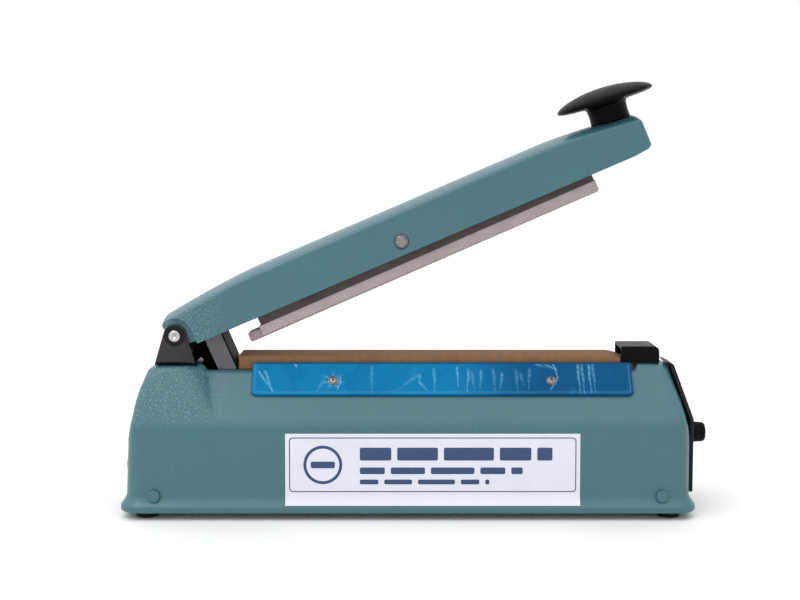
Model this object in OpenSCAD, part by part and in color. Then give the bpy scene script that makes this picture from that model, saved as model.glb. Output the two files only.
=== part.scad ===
// Hand impulse heat sealer, shown with its arm raised.
// Lengths are in millimetres. The jaw runs along X, the handle is at +X and the hinge at -X.
// The sub-parts are laid out from the middle of the base skirt and then moved by shell_x.

/* [Base] */
// Length of the base skirt
base_l = 314; // [310:1:318]
// Width of the base skirt
base_w = 80; // [79:0.5:82]
// Height of the rubber feet under the skirt
foot_h = 4; // [3:0.5:5]
// Height of the crease where the walls start to slope in
crease_z = 52; // [50:0.5:54]
// Height of the deck that carries the jaw
deck_z = 78.1; // [77.5:0.1:78.5]
// Half width of the deck
deck_hw = 15; // [14.8:0.1:15.5]
// Height of the raised decks under the bracket and the end cap
end_deck_z = 81.4; // [81:0.1:82]
// Wall thickness of the casting
wall = 3; // [2.5:0.1:3.4]

/* [Jaw] */
// Rear end of the jaw
jaw_rear = -93.6; // [-93.6:0.1:-92]
// Where the jaw starts to fall away at its front end
jaw_bend = 111.7; // [110:0.1:113]
// Front end of the jaw
jaw_front = 125.4; // [124:0.1:125.6]
// Half width of the jaw
jaw_hw = 12; // [11:0.1:12]
// Where the jaw narrows to go into the end cap
jaw_shoulder = 117.8; // [116:0.1:118]
// Height of the jaw's bare top
jaw_top = 85.2; // [84.8:0.1:85.4]

/* [Arm] */
// Hinge pin, along the base from its middle
pivot_x = -127.6; // [-128:0.1:-127]
// Hinge pin, above the surface that the feet stand on
pivot_z = 98; // [97.5:0.1:99]
// Slope of the arm's lower edge when it is raised
arm_open = 23.2; // [18:0.1:24]
// Slope of the press bar when the arm is raised
bar_open = 23.58; // [20:0.01:25]
// Length of the arm in front of the hinge pin
arm_l = 279.6; // [276:0.1:282]
// Width of the arm
arm_w = 38; // [36.5:0.1:39]
// Highest point of the arm's crown over the hinge line
arm_peak = 17; // [16.6:0.1:17.6]
// Press bar pivot, along the arm
rock_u = 134.4; // [134:0.1:135]
// Press bar pivot, across the arm
rock_v = -1.5; // [-1.6:0.1:-1.4]

/* [Controls] */
// Height of the timer shaft
timer_z = 40.7; // [38:0.1:43]
// Tip of the timer knob, from the middle of the base
timer_tip = 168; // [167:0.1:169]
// Diameter of the arm's knob
knob_d = 53.6; // [48:0.1:56]

/* [Hidden] */
$fn = 48;

// The timer knob stands out past the skirt, so the skirt's middle lies left of the origin
shell_x = -(timer_tip - base_l / 2) / 2;

paint = [0.36, 0.52, 0.54];
steel = [0.62, 0.60, 0.59];
dark_steel = [0.36, 0.33, 0.32];
black = [0.09, 0.08, 0.08];
brass = [0.80, 0.65, 0.30];

// Casting
lip = 3.4;
lip_z = 7.4;
flare_z = 14.7;
wall_l = base_l - 2 * lip;
wall_w = base_w - 2 * lip;
wall_lean = 1.6;
crease_hw = wall_w / 2 - wall_lean;
slope_run = (crease_hw - deck_hw) / (deck_z - crease_z);
slope_angle = atan(slope_run);
end_hw = deck_hw - (end_deck_z - deck_z) * slope_run;
front_deck_x = 126;
front_top_x = 143.5;
pedestal_hw = 24;
pedestal_rear = -138.5;
pedestal_front = -112;
pedestal_foot = -104.6;
pedestal_edge = [-118.3, 24, 78];
face_tilt = 56.2;
face_turn = 46.5;
well_rear = -114.8;
well_hw = 12.7;
post_x = 125;
post_y = 29.8;
post_r = 5;
foot_x = 142.8;
foot_y = 28;

// Panel on the front end
panel_t = 2.4;
panel_knee_z = 53.3;
panel_knee2_z = 79.5;
panel_knee_x = 153.4;
panel_knee2_x = 145.3;
panel_top = [143.2, 82];
panel_foot_z = 13;

// Fuse and cord inlet on the rear end
fuse_y = -6;
inlet_y = 14;
inlet_z = 24;

// Jaw layers
bend_r = 16;
bend_a = 15;
tongue_hw = 9.2;
underlay_t = 0.2;
element_t = 0.2;
cloth_t = 0.3;
cloth_top = jaw_top + underlay_t + element_t + 0.05 + cloth_t;
strip_t = 1.5;
strip_x0 = -85.3;
strip_x1 = 122.9;
strip_up = 4.1;
strip_down = 15.7;
film_t = 0.25;
strip_screw_x = [-40.9, 78.8];
strip_screw_s = 7.2;

// Hinge
pin_r = 3.25;
fit = 0.04;
bush_r = 5.45;
ear_r = 6.3;
ear_out = 20;
bracket_t = 2.2;
bracket_x0 = -139.2;
bracket_x1 = -116.1;
lug_hw = 17.3;

// Arm, in its own frame: u along its lower edge from the pin, v across it
rear_fall_u = 55;
rear_fall = 4.9;
front_fall_u = 225;
front_fall = 5.2;
roof_t = 6.2;
arm_edge = -8.7;
crown_drop = 3.4;
knob_u = 266.3;
knob_v = 12.2;
knob_tilt = 6;
knob_r = knob_d / 2;
knob_dome = 7;
stem_r = 11.2;
rim_h = 13.1;
rock_r = 2.5;

// Press bar, from its pivot: w downwards
bar_rear = -99.5;
bar_front = 110.6;
bar_drop = 18.7;

// Outlines and slabs

// A half outline of [y, z] points and its mirror image
function both_sides(half) =
    concat(half, [for (i = [len(half) - 1:-1:0]) [-half[i][0], half[i][1]]]);

// Where a line from point q touches the circle c, r; side is 1 or -1
function tangent_point(c, r, q, side) =
    let (a = atan2(q[1] - c[1], q[0] - c[0]) + side * acos(r / norm(q - c)))
    [c[0] + r * cos(a), c[1] + r * sin(a)];

// [x, z] outline, centred on Y
module side_slab(points, width) {
    rotate([90, 0, 0])
        linear_extrude(height = width, center = true)
            polygon(points);
}

// [y, z] outline, from x0 to x1
module long_slab(points, x0, x1) {
    translate([x0, 0, 0])
        rotate([90, 0, 90])
            linear_extrude(height = x1 - x0)
                polygon(points);
}

module rounded_plan(length, width, r, h) {
    for (sx = [-1, 1], sy = [-1, 1])
        translate([sx * (length / 2 - r), sy * (width / 2 - r), 0])
            cylinder(r = r, h = h);
    translate([-length / 2 + r, -width / 2, 0])
        cube([length - 2 * r, width, h]);
    translate([-length / 2, -width / 2 + r, 0])
        cube([length, width - 2 * r, h]);
}

module cross_rod(x, z, r, y0, y1) {
    translate([x, y1, z])
        rotate([90, 0, 0])
            cylinder(r = r, h = y1 - y0);
}

module long_rod(y, z, r, x0, x1) {
    translate([x0, y, z])
        rotate([0, 90, 0])
            cylinder(r = r, h = x1 - x0);
}

module at_shell() {
    translate([shell_x, 0, 0])
        children();
}

// Screw with a domed head, pointing down, head's underside at the origin
module pan_screw(head_r, head_h, shank_r, shank_l) {
    difference() {
        rotate_extrude()
            polygon([[0, -shank_l], [shank_r, -shank_l], [shank_r, 0], [head_r, 0],
                [head_r, head_h * 0.45], [head_r * 0.75, head_h * 0.85], [head_r * 0.35, head_h], [0, head_h]]);
        for (a = [0, 90])
            rotate([0, 0, a])
                translate([-head_r * 0.55, -head_r * 0.11, head_h * 0.5])
                    cube([head_r * 1.1, head_r * 0.22, head_h]);
    }
}

// Lies on the sloping side: y is along the base, z points out of the slope, side is -1 near or 1 far
module on_slope(x, s, side) {
    translate([x, side * (deck_hw + s * sin(slope_angle)), deck_z - s * cos(slope_angle)])
        rotate([-side * (90 - slope_angle), 0, 0])
            children();
}

// Base

function flare(z) = z <= lip_z ? lip : lip * pow((flare_z - z) / (flare_z - lip_z), 2.2);

function flare_half(start) = [for (z = [foot_h, lip_z, 8.2, 9.4, 11, 12.8, flare_z]) [start + flare(z), z]];

module skirt() {
    intersection() {
        long_slab(both_sides(flare_half(wall_w / 2)), -base_l / 2, base_l / 2);
        side_slab(both_sides(flare_half(wall_l / 2)), base_w);
        rounded_plan(base_l, base_w, 11, flare_z);
    }
}

// Cross-section of the walls and slopes, drawn in by t
function section_half(t, top, top_hw) = [
    [wall_w / 2 - t, foot_h - t],
    [wall_w / 2 - t, flare_z],
    [crease_hw - t, crease_z - t * 0.34],
    [top_hw - t * 0.49, top - t]
];

module main_mass(t) {
    intersection() {
        long_slab(both_sides(section_half(t, end_deck_z, end_hw)), -wall_l / 2 + t, wall_l / 2 - t);
        side_slab([
            [-wall_l / 2 + t, foot_h - t], [-wall_l / 2 + t, flare_z], [-wall_l / 2 + 1.4 + t, crease_z],
            [pedestal_rear - 4 + t, deck_z - 1 - t],
            [pedestal_rear + t, deck_z - t], [front_deck_x + t, deck_z - t], [front_deck_x + t, end_deck_z - t],
            [front_top_x - t, end_deck_z - t], [panel_knee2_x - t, panel_knee2_z - t],
            [panel_knee_x - t, panel_knee_z - t * 0.3], [wall_l / 2 - t, flare_z], [wall_l / 2 - t, foot_h - t]
        ], base_w);
        translate([0, 0, foot_h - t])
            rounded_plan(wall_l - 2 * t, wall_w - 2 * t, 8.5 - t, end_deck_z);
    }
}

// Everything in front of the pedestal's slanted face on one side, moved in by t
module ahead_of_pedestal(t, side) {
    translate([pedestal_edge[0], side * pedestal_edge[1], pedestal_edge[2]])
        rotate([0, face_tilt, side * face_turn])
            translate([-60, -60, -t])
                cube([120, 120, 60]);
}

module pedestal_mass(t) {
    difference() {
        pedestal_block(t);
        for (side = [-1, 1])
            ahead_of_pedestal(t, side);
    }
}

module pedestal_block(t) {
    intersection() {
        long_slab(both_sides(section_half(t, end_deck_z, pedestal_hw)), -wall_l / 2 + t, -90);
        side_slab([
            [-wall_l / 2 + 1.4 + t, crease_z - 8], [-wall_l / 2 + 1.4 + t, crease_z],
            [pedestal_rear - 5.5 + t, end_deck_z - 4.4 - t], [pedestal_rear - 3.8 + t, end_deck_z - 1.3 - t],
            [pedestal_rear + t, end_deck_z - t],
            [pedestal_front - t, end_deck_z - t], [pedestal_foot - t, crease_z - t], [pedestal_foot - t, crease_z - 8]
        ], base_w);
        translate([0, 0, crease_z - 8])
            rounded_plan(wall_l - 2 * t, wall_w - 2 * t, 8.5 - t, 60);
    }
}

module body_casting() {
    color(paint) at_shell() difference() {
        union() {
            difference() {
                union() {
                    skirt();
                    main_mass(0);
                    pedestal_mass(0);
                    for (sx = [-1, 1])
                        cross_rod(sx * 137.4, 13, 3.25, -wall_w / 2 - 2.4, wall_w / 2 + 2.4);
                }
                main_mass(wall);
                pedestal_mass(wall);
            }
            for (sx = [-1, 1], sy = [-1, 1])
                translate([sx * post_x, sy * post_y, foot_h + 1.2])
                    cylinder(r = post_r, h = 36);
            for (x = strip_screw_x, side = [-1, 1])
                on_slope(x, strip_screw_s, side)
                    translate([0, 0, -5])
                        cylinder(r = 3.5, h = 4);
        }
        // Well that the striker drops into
        translate([well_rear, -well_hw, deck_z - 12])
            cube([jaw_rear - well_rear, 2 * well_hw, 20]);
        for (sx = [-1, 1], sy = [-1, 1])
            translate([sx * post_x, sy * post_y, foot_h])
                cylinder(r = 1.75, h = 14);
        for (x = strip_screw_x, side = [-1, 1])
            on_slope(x, strip_screw_s, side)
                translate([0, 0, -8])
                    cylinder(r = 1.3, h = 12);
        for (dx = [-6, 6], y = [-12.5, 12.5])
            translate([pivot_x + dx, y, end_deck_z - 10])
                cylinder(r = 2.05, h = 12);
        // Feed for the front electrode's lead and the jaw's fixings
        translate([131, 0, end_deck_z - 8])
            cylinder(r = 2.1, h = 10);
        // Holes in the front end
        long_rod(0, timer_z, 3.7, 140, 160);
        for (y = [-19, 19])
            long_rod(y, 22, 1.3, 140, 160);
        lamp_place()
            translate([0, 0, -12])
                cylinder(r = 4.1, h = 14);
        // Holes in the rear end
        long_rod(inlet_y, inlet_z, 7.05, -160, -140);
        long_rod(fuse_y, inlet_z, 6.05, -160, -140);
    }
}

module base_plate() {
    color(steel) at_shell() difference() {
        translate([0, 0, foot_h])
            rounded_plan(wall_l - 2 * wall - 0.6, wall_w - 2 * wall - 0.6, 5, 1.2);
        for (sx = [-1, 1], sy = [-1, 1]) {
            translate([sx * post_x, sy * post_y, 0])
                cylinder(r = 2, h = 10);
            translate([sx * foot_x, sy * foot_y, 0])
                cylinder(r = 3.02, h = 10);
        }
        for (x = [-60:10:-30], y = [-12:12:12])
            translate([x, y, foot_h - 1])
                cylinder(r = 2, h = 4);
    }
}

module base_screws() {
    color(steel) at_shell()
        for (sx = [-1, 1], sy = [-1, 1])
            translate([sx * post_x, sy * post_y, foot_h])
                rotate([180, 0, 0])
                    pan_screw(3.5, 2.2, 1.7, 12);
}

module rubber_feet() {
    color(black) at_shell()
        for (sx = [-1, 1], sy = [-1, 1])
            translate([sx * foot_x, sy * foot_y, 0]) {
                rotate_extrude()
                    polygon([[0, 0], [5.6, 0], [6.1, 0.5], [6.35, foot_h], [0, foot_h]]);
                translate([0, 0, foot_h - 0.5])
                    cylinder(r = 3, h = 2.2);
            }
}

// Hinge

module ear_outline(r) {
    c = [pivot_x, pivot_z];
    left = [bracket_x0, end_deck_z];
    right = [bracket_x1, end_deck_z];
    polygon([left, right, tangent_point(c, r, right, 1), tangent_point(c, r, left, -1)]);
    translate(c)
        circle(r = r);
}

module hinge_bracket() {
    bend = 3;
    in_bend = 0.8;
    outer = [for (a = [-90:15:0]) [ear_out - bend + bend * cos(a), end_deck_z + bend + bend * sin(a)]];
    inner = [for (a = [0:-15:-90]) [ear_out - bend + in_bend * cos(a), end_deck_z + bend + in_bend * sin(a)]];
    half = concat(outer, [[ear_out, 120], [ear_out - bracket_t, 120]], inner);
    color(dark_steel) at_shell() difference() {
        intersection() {
            long_slab(both_sides(half), bracket_x0, bracket_x1);
            rotate([90, 0, 0])
                linear_extrude(height = 50, center = true)
                    ear_outline(ear_r);
        }
        cross_rod(pivot_x, pivot_z, bush_r + 0.02, -30, 30);
        for (dx = [-6, 6], y = [-12.5, 12.5])
            translate([pivot_x + dx, y, end_deck_z - 1])
                cylinder(r = 2.2, h = 5);
    }
}

module bracket_screws() {
    color(steel) at_shell()
        for (dx = [-6, 6], y = [-12.5, 12.5])
            translate([pivot_x + dx, y, end_deck_z + bracket_t])
                pan_screw(3.6, 2.4, 2, 9);
}

module hinge_pin() {
    end = 21.5;
    color(steel) at_shell()
        translate([pivot_x, 0, pivot_z])
            rotate([90, 0, 0])
                rotate_extrude()
                    polygon([[0, -end + 0.5], [1, -end], [pin_r - 0.5, -end], [pin_r, -end + 0.5],
                        [pin_r, end - 0.5], [pin_r - 0.5, end], [1, end], [0, end - 0.5]]);
}

module hinge_bushes() {
    color(black) at_shell()
        for (side = [-1, 1])
            difference() {
                cross_rod(pivot_x, pivot_z, bush_r, side * 18.85 - 1.35, side * 18.85 + 1.35);
                cross_rod(pivot_x, pivot_z, pin_r + fit, -30, 30);
            }
}

// Wire piece from [x, y, z] p to q
module wire(p, q, r) {
    d = q - p;
    translate(p)
        rotate([0, acos(d[2] / norm(d)), atan2(d[1], d[0])])
            cylinder(r = r, h = norm(d));
    translate(q)
        sphere(r = r);
}

module return_spring() {
    leg_r = 0.85;
    coil_in = 4.4;
    coil_out = 6.4;
    turns = 3;
    start = 3.4;
    ridge = [for (i = [0:turns - 1]) each [[coil_out - 0.4, start + 2 * i], [coil_out, start + 2 * i + 0.6],
        [coil_out, start + 2 * i + 1.4], [coil_out - 0.4, start + 2 * i + 2]]];
    mean = (coil_in + coil_out) / 2;
    color(steel) at_shell() translate([pivot_x, 0, pivot_z]) {
        // Each coil is drawn as one sleeve with the turns' ridges on it
        for (side = [-1, 1]) {
            rotate([side * 90, 0, 0])
                rotate_extrude()
                    polygon(concat([[coil_in, start + 2 * turns], [coil_in, start]], ridge));
            // Leg that bears on the bracket's base
            translate([-mean, side * -8.3, -13.2])
                cylinder(r = leg_r, h = 13.2);
            // Leg that lifts the arm
            translate([0, side * -4.5, -mean])
                rotate([0, 90 - 15, 0])
                    cylinder(r = leg_r, h = 20);
        }
        translate([18.5, -5.2, -mean + 5])
            rotate([-90, 0, 0])
                cylinder(r = leg_r + 0.05, h = 10.4);
    }
}

// Web between the springs that closes off the slot behind the striker
module slot_guard() {
    base = end_deck_z + bracket_t;
    web_hw = 2.4;
    foot_hw = 7;
    rear = -121;
    front = -106.3;
    high = base + 10.2;
    low = base + 5.8;
    step_x = -112.6;
    color(black) at_shell() {
        // The front of its top is lower, to let the springs' cross wire down as the arm closes
        side_slab([
            [rear, base], [bracket_x1, base], [well_rear + 0.4, base - 1.3], [well_rear + 0.4, deck_z - 6],
            [front, deck_z - 6], [front - 0.4, base + 2.5], [front - 1, low], [step_x, low], [step_x - 0.6, high],
            [rear + 4, high], [rear, base + 5]
        ], 2 * web_hw);
        translate([rear, -foot_hw, base])
            cube([bracket_x1 - rear, 2 * foot_hw, 1.3]);
    }
}

// Jaw

// The jaw narrows to a tongue that reaches into the end cap
module shoulder_cut(hw) {
    for (side = [-1, 1])
        translate([jaw_shoulder, side * (hw + 10) - 10, deck_z - 5])
            cube([20, 20, 20]);
}

// The jaw's top line, raised by h: flat, a short bend, then straight down to x
function jaw_line(h, x_end) =
    let (
        r = bend_r + h,
        z0 = jaw_top - bend_r,
        last = [jaw_bend + r * sin(bend_a), z0 + r * cos(bend_a)]
    )
    concat(
        [for (a = [0:5:bend_a]) [jaw_bend + r * sin(a), z0 + r * cos(a)]],
        [[x_end, last[1] - (x_end - last[0]) * tan(bend_a)]]
    );

function jaw_outline(x0, x_end, h, z0) = concat([[x_end, z0], [x0, z0], [x0, jaw_top + h]], jaw_line(h, x_end));

// A layer that follows the jaw's top, from height h0 to h1
function layer_outline(x0, x_end, h0, h1) =
    let (low = jaw_line(h0, x_end))
    concat(
        [for (i = [len(low) - 1:-1:0]) low[i]],
        [[x0, jaw_top + h0], [x0, jaw_top + h1]],
        jaw_line(h1, x_end)
    );

module jaw_insulator() {
    color([0.45, 0.25, 0.12]) at_shell() difference() {
        side_slab(jaw_outline(jaw_rear, jaw_front, 0, deck_z), 2 * jaw_hw);
        shoulder_cut(tongue_hw);
        for (x = [-70, 15, 100])
            translate([x, 0, deck_z - 1])
                cylinder(r = 1.6, h = 5);
    }
}

module element_underlay() {
    color([0.75, 0.65, 0.5]) at_shell()
        side_slab(layer_outline(jaw_rear, jaw_front - 0.4, 0, underlay_t), 10);
}

module heating_element() {
    low = underlay_t;
    high = underlay_t + element_t;
    drop = [[jaw_rear - 0.3, deck_z - 6], [jaw_rear - 0.05, deck_z - 6], [jaw_rear - 0.05, jaw_top + low]];
    over = jaw_line(high, 127.6);
    under = jaw_line(low, 127.6);
    color(steel) at_shell()
        side_slab(concat(drop, under, [for (i = [len(over) - 1:-1:0]) over[i]], [[jaw_rear - 0.3, jaw_top + high]]), 2.2);
}

module rear_electrode() {
    color(brass) at_shell() difference() {
        translate([jaw_rear - 3.5, -4, deck_z - 12])
            cube([3.1, 8, 7]);
        long_rod(0, deck_z - 8.5, 1.3, jaw_rear - 6, jaw_rear);
    }
}

module front_electrode() {
    color(brass) at_shell() difference() {
        translate([127.8, -4.5, end_deck_z])
            cube([7, 9, 3]);
        translate([131, 0, end_deck_z - 1])
            cylinder(r = 1.6, h = 6);
    }
}

module electrode_screws() {
    color(steel) at_shell() {
        translate([131, 0, end_deck_z + 3])
            pan_screw(2.8, 1.9, 1.5, 8);
        translate([jaw_rear - 3.5, 0, deck_z - 8.5])
            rotate([0, -90, 0])
                pan_screw(2.2, 1.2, 1.2, 2.8);
    }
}

module ptfe_cloth() {
    gap = 0.05;
    under = underlay_t + element_t + gap;
    color([0.56, 0.41, 0.32]) at_shell() difference() {
        side_slab(jaw_outline(jaw_rear, jaw_front - 1.2, under + cloth_t, deck_z + 0.1), 2 * (jaw_hw + gap + cloth_t));
        side_slab(jaw_outline(jaw_rear - 5, jaw_front + 5, under, deck_z - 5), 2 * (jaw_hw + gap));
        shoulder_cut(tongue_hw);
    }
}

// Strip outline on the slope: corners round at the bottom
module strip_outline(grow) {
    x0 = strip_x0 - grow;
    x1 = strip_x1 + grow;
    low = strip_down + grow;
    r = 2.7;
    difference() {
        translate([x0, -strip_up])
            square([x1 - x0, strip_up + low]);
        for (c = [[x0, 1], [x1, -1]])
            difference() {
                translate([c[0] + c[1] * r / 2, low - r / 2])
                    square([r, r], center = true);
                translate([c[0] + c[1] * r, low - r])
                    circle(r = r);
            }
    }
}

module side_strip(side) {
    color(steel) at_shell() difference() {
        on_slope(0, 0, side)
            mirror([0, side < 0 ? 1 : 0, 0])
                linear_extrude(height = strip_t)
                    strip_outline(0);
        for (x = strip_screw_x)
            on_slope(x, strip_screw_s, side)
                translate([0, 0, -2])
                    cylinder(r = 1.6, h = 6);
    }
}

module film(side) {
    color([0.06, 0.42, 0.66]) at_shell() difference() {
        on_slope(0, 0, side)
            mirror([0, side < 0 ? 1 : 0, 0])
                translate([0, 0, strip_t])
                    linear_extrude(height = film_t)
                        strip_outline(0.3);
        for (x = strip_screw_x)
            on_slope(x, strip_screw_s, side)
                cylinder(r = 2.6, h = 6);
    }
}

module side_strip_near() {
    side_strip(-1);
}

module side_strip_far() {
    side_strip(1);
}

module film_near() {
    film(-1);
}

module film_far() {
    film(1);
}

module strip_screws() {
    color(steel) at_shell()
        for (x = strip_screw_x, side = [-1, 1])
            on_slope(x, strip_screw_s, side)
                translate([0, 0, strip_t])
                    pan_screw(2.4, 1.5, 1.2, 6);
}

module front_cap() {
    x0 = 118.4;
    x1 = 139.6;
    top = 91;
    r = 3;
    t = 1.4;
    corner = [for (a = [0:15:90]) [x1 - r + r * cos(a), top - r + r * sin(a)]];
    inside = [for (a = [0:15:90]) [x1 - r + (r - t) * cos(a), top - r + (r - t) * sin(a)]];
    color(black) at_shell() difference() {
        side_slab(concat([[x0, end_deck_z], [x1, end_deck_z]], corner, [[x0, top]]), 22);
        side_slab(concat([[x0 - 1, end_deck_z - 1], [x1 - t, end_deck_z - 1]], inside, [[x0 - 1, top - t]]), 22 - 2 * t);
    }
}

// Front end

// The panel's inner line, moved out by d
function panel_line(d) = [
    [wall_l / 2 + d, panel_foot_z],
    [panel_knee_x + d + 0.1, panel_knee_z],
    [panel_knee2_x + d + 0.5, panel_knee2_z + d * 0.4],
    [panel_top[0] + d * 0.85, panel_top[1]]
];

module control_panel() {
    out = panel_line(panel_t);
    in = panel_line(0.15);
    color(black) at_shell() difference() {
        intersection() {
            side_slab(concat(in, [for (i = [len(out) - 1:-1:0]) out[i]]), 70);
            long_slab(both_sides([[28, panel_foot_z], [27.4, panel_knee_z], [10, 80], [9, 85]]), 130, 170);
        }
        long_rod(0, timer_z, 3.7, 140, 170);
        for (y = [-19, 19])
            long_rod(y, 22, 1.7, 140, 170);
        lamp_place()
            translate([0, 0, -12])
                cylinder(r = 3.6, h = 20);
    }
}

module panel_screws() {
    color(steel) at_shell()
        for (y = [-19, 19])
            translate([wall_l / 2 + panel_t, y, 22])
                rotate([0, 90, 0])
                    pan_screw(2.6, 0.9, 1.2, 7);
}

// On the panel's leaning face, z pointing out of it
module lamp_place() {
    low = panel_line(panel_t)[1];
    high = panel_line(panel_t)[2];
    middle = (low + high) / 2;
    translate([middle[0], 0, middle[1]])
        rotate([0, 90 - atan((low[0] - high[0]) / (high[1] - low[1])), 0])
            children();
}

module pilot_lamp() {
    color([0.75, 0.08, 0.06]) at_shell()
        lamp_place()
            rotate_extrude()
                polygon([[0, -11], [3.5, -11], [3.5, 0.1], [4.3, 0.1], [4.3, 0.7], [3.6, 1], [2.6, 1.7], [0, 2.1]]);
}

module timer_pot() {
    color([0.25, 0.4, 0.3]) at_shell() difference() {
        union() {
            long_rod(0, timer_z, 8.2, 137.5, 150);
            long_rod(0, timer_z, 3.5, 149, 156);
        }
        long_rod(0, timer_z, 3 + fit, 139, 160);
    }
}

module timer_shaft() {
    color(steel) at_shell()
        long_rod(0, timer_z, 3, 139.5, 164.5);
}

module timer_knob() {
    base = 156.9;
    r = 6.6;
    h = timer_tip - base;
    color(black) at_shell() translate([base, 0, timer_z]) rotate([0, 90, 0]) difference() {
        union() {
            rotate_extrude()
                polygon([[0, 0], [r, 0], [r, 2.2], [r - 0.8, 3.4], [r - 1.4, h * 0.55], [0, h * 0.55]]);
            intersection() {
                translate([-r, -1.9, 0])
                    cube([2 * r, 3.8, h]);
                rotate_extrude()
                    polygon([[0, 0], [r - 0.3, 0], [r - 1.1, h - 1.6], [r - 2.6, h], [0, h]]);
            }
        }
        translate([0, 0, -1])
            cylinder(r = 3 + fit, h = 164.5 - base + 1.3);
    }
}

// Inside the base

module circuit_board() {
    color([0.1, 0.35, 0.15]) at_shell() difference() {
        translate([62, -24, 14])
            cube([56, 48, 1.6]);
        for (x = [66, 114], y = [-20, 20])
            translate([x, y, 13])
                cylinder(r = 1.6, h = 4);
    }
}

module board_parts() {
    color([0.15, 0.15, 0.17]) at_shell() {
        translate([66, -14, 15.6])
            cube([19, 15, 15]);
        translate([66, 6, 15.6])
            cube([12, 8, 10]);
        for (x = [92, 104])
            translate([x, -12, 15.6])
                cylinder(r = 4, h = 14);
        translate([90, 8, 15.6])
            cube([20, 8, 8]);
        for (x = [66, 114], y = [-20, 20])
            translate([x, y, foot_h + 1.2])
                difference() {
                    cylinder(r = 3, h = 14 - foot_h - 1.2);
                    translate([0, 0, 2])
                        cylinder(r = 1.5, h = 20);
                }
    }
}

core_x = 0;
core_l = 66;
core_d = 30;
core_h = 50;
core_z = 8.2;

module transformer_core() {
    window = [11, 28];
    color([0.3, 0.28, 0.27]) at_shell() difference() {
        translate([core_x - core_l / 2, -core_d / 2, core_z])
            cube([core_l, core_d, core_h]);
        for (side = [-1, 1])
            translate([core_x + side * 16.5 - window[0] / 2, -core_d, core_z + 11])
                cube([window[0], 2 * core_d, window[1]]);
    }
}

module transformer_winding() {
    color([0.72, 0.4, 0.15]) at_shell() difference() {
        translate([core_x - 21.7, -core_d / 2 - 9.5, core_z + 11.2])
            cube([43.4, core_d + 19, 27.6]);
        translate([core_x - 11.2, -core_d / 2 - 0.2, core_z])
            cube([22.4, core_d + 0.4, 60]);
    }
}

module transformer_strap() {
    t = 1.2;
    out = core_l / 2 + t;
    foot = out + 10;
    z0 = foot_h + 1.2;
    color(steel) at_shell() difference() {
        union() {
            for (side = [-1, 1]) {
                translate([core_x + side * (out - t / 2) - t / 2, -11, z0])
                    cube([t, 22, core_z + core_h + t - z0]);
                translate([core_x + side * (out + foot) / 2 - (foot - out) / 2, -11, z0])
                    cube([foot - out, 22, t]);
            }
            translate([core_x - out, -11, core_z + core_h])
                cube([2 * out, 22, t]);
            translate([core_x - core_l / 2, -11, z0])
                cube([core_l, 22, core_z - z0]);
        }
        for (side = [-1, 1])
            translate([core_x + side * (out + 5.5), 0, 0])
                cylinder(r = 2.05, h = 20);
    }
}

module strap_screws() {
    color(steel) at_shell()
        for (side = [-1, 1])
            translate([core_x + side * (core_l / 2 + 6.7), 0, foot_h + 2.4])
                pan_screw(3.2, 2, 1.95, 1.2);
}

plunger_x = -107.5;
plunger_y = 10.7;
plunger_r = 1.6;
switch_top = 60;

module microswitch() {
    color([0.12, 0.12, 0.12]) at_shell() difference() {
        translate([-121, plunger_y - 5.1, switch_top - 16])
            cube([28, 10.2, 16]);
        translate([plunger_x, plunger_y, switch_top - 8])
            cylinder(r = plunger_r + fit, h = 20);
        for (x = [-117, -97])
            cross_rod(x, switch_top - 12, 1.6, 0, 30);
    }
}

module microswitch_plunger() {
    color([0.85, 0.25, 0.15]) at_shell()
        translate([plunger_x, plunger_y, switch_top - 5])
            cylinder(r = plunger_r, h = 11.4);
}

module switch_bracket() {
    y0 = plunger_y + 5.1;
    color(steel) at_shell() difference() {
        union() {
            translate([-122, y0, foot_h + 1.2])
                cube([30, 1.5, switch_top - 2 - foot_h - 1.2]);
            translate([-122, y0 - 12, foot_h + 1.2])
                cube([30, 12, 1.5]);
        }
        for (x = [-117, -97])
            cross_rod(x, switch_top - 12, 1.6, 0, 30);
    }
}

module fuse_holder() {
    color(black) at_shell() {
        long_rod(fuse_y, inlet_z, 6, -wall_l / 2 - 0.2, -wall_l / 2 + 32);
        translate([-wall_l / 2 - 0.2, fuse_y, inlet_z])
            rotate([0, -90, 0])
                difference() {
                    rotate_extrude()
                        polygon([[0, 0], [8, 0], [8, 1], [6.6, 1.2], [6.2, 2.9], [0, 2.9]]);
                    translate([-4, -0.6, 1.9])
                        cube([8, 1.2, 2]);
                }
    }
}

grommet_bore = 3.6;

module cord_grommet() {
    x = -wall_l / 2;
    color(black) at_shell()
        translate([x, inlet_y, inlet_z])
            rotate([0, -90, 0])
                rotate_extrude()
                    polygon([[grommet_bore, -5.5], [8.4, -5.5], [8.4, -4.2], [7, -4.2], [7, 0.1],
                        [9, 0.1], [9, 1.2], [7.6, 2.9], [grommet_bore, 2.9]]);
}

module label() {
    x0 = -66.3;
    x1 = 93;
    t = 0.2;
    lean = wall_lean / (crease_z - flare_z);
    line = [for (z = [8.2, 9.4, 11, 12.8, flare_z]) [-wall_w / 2 - flare(z), z]];
    top = [[-wall_w / 2 + (46.9 - flare_z) * lean, 46.9]];
    path = concat(line, top);
    color("white") at_shell()
        long_slab(concat([for (p = path) [p[0] - 0.05, p[1]]],
            [for (i = [len(path) - 1:-1:0]) [path[i][0] - 0.05 - t, path[i][1] + t * 0.3]]), x0, x1);
}

// Arm

module arm_frame() {
    translate([shell_x + pivot_x, 0, pivot_z])
        rotate([0, -arm_open, 0])
            children();
}

// Crown height: level along the middle, falling away towards both ends
function arm_top(u) = arm_peak
    - rear_fall * pow(max(0, rear_fall_u - u) / rear_fall_u, 1.5)
    - front_fall * pow(max(0, u - front_fall_u) / (arm_l - front_fall_u), 1.5);

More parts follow.
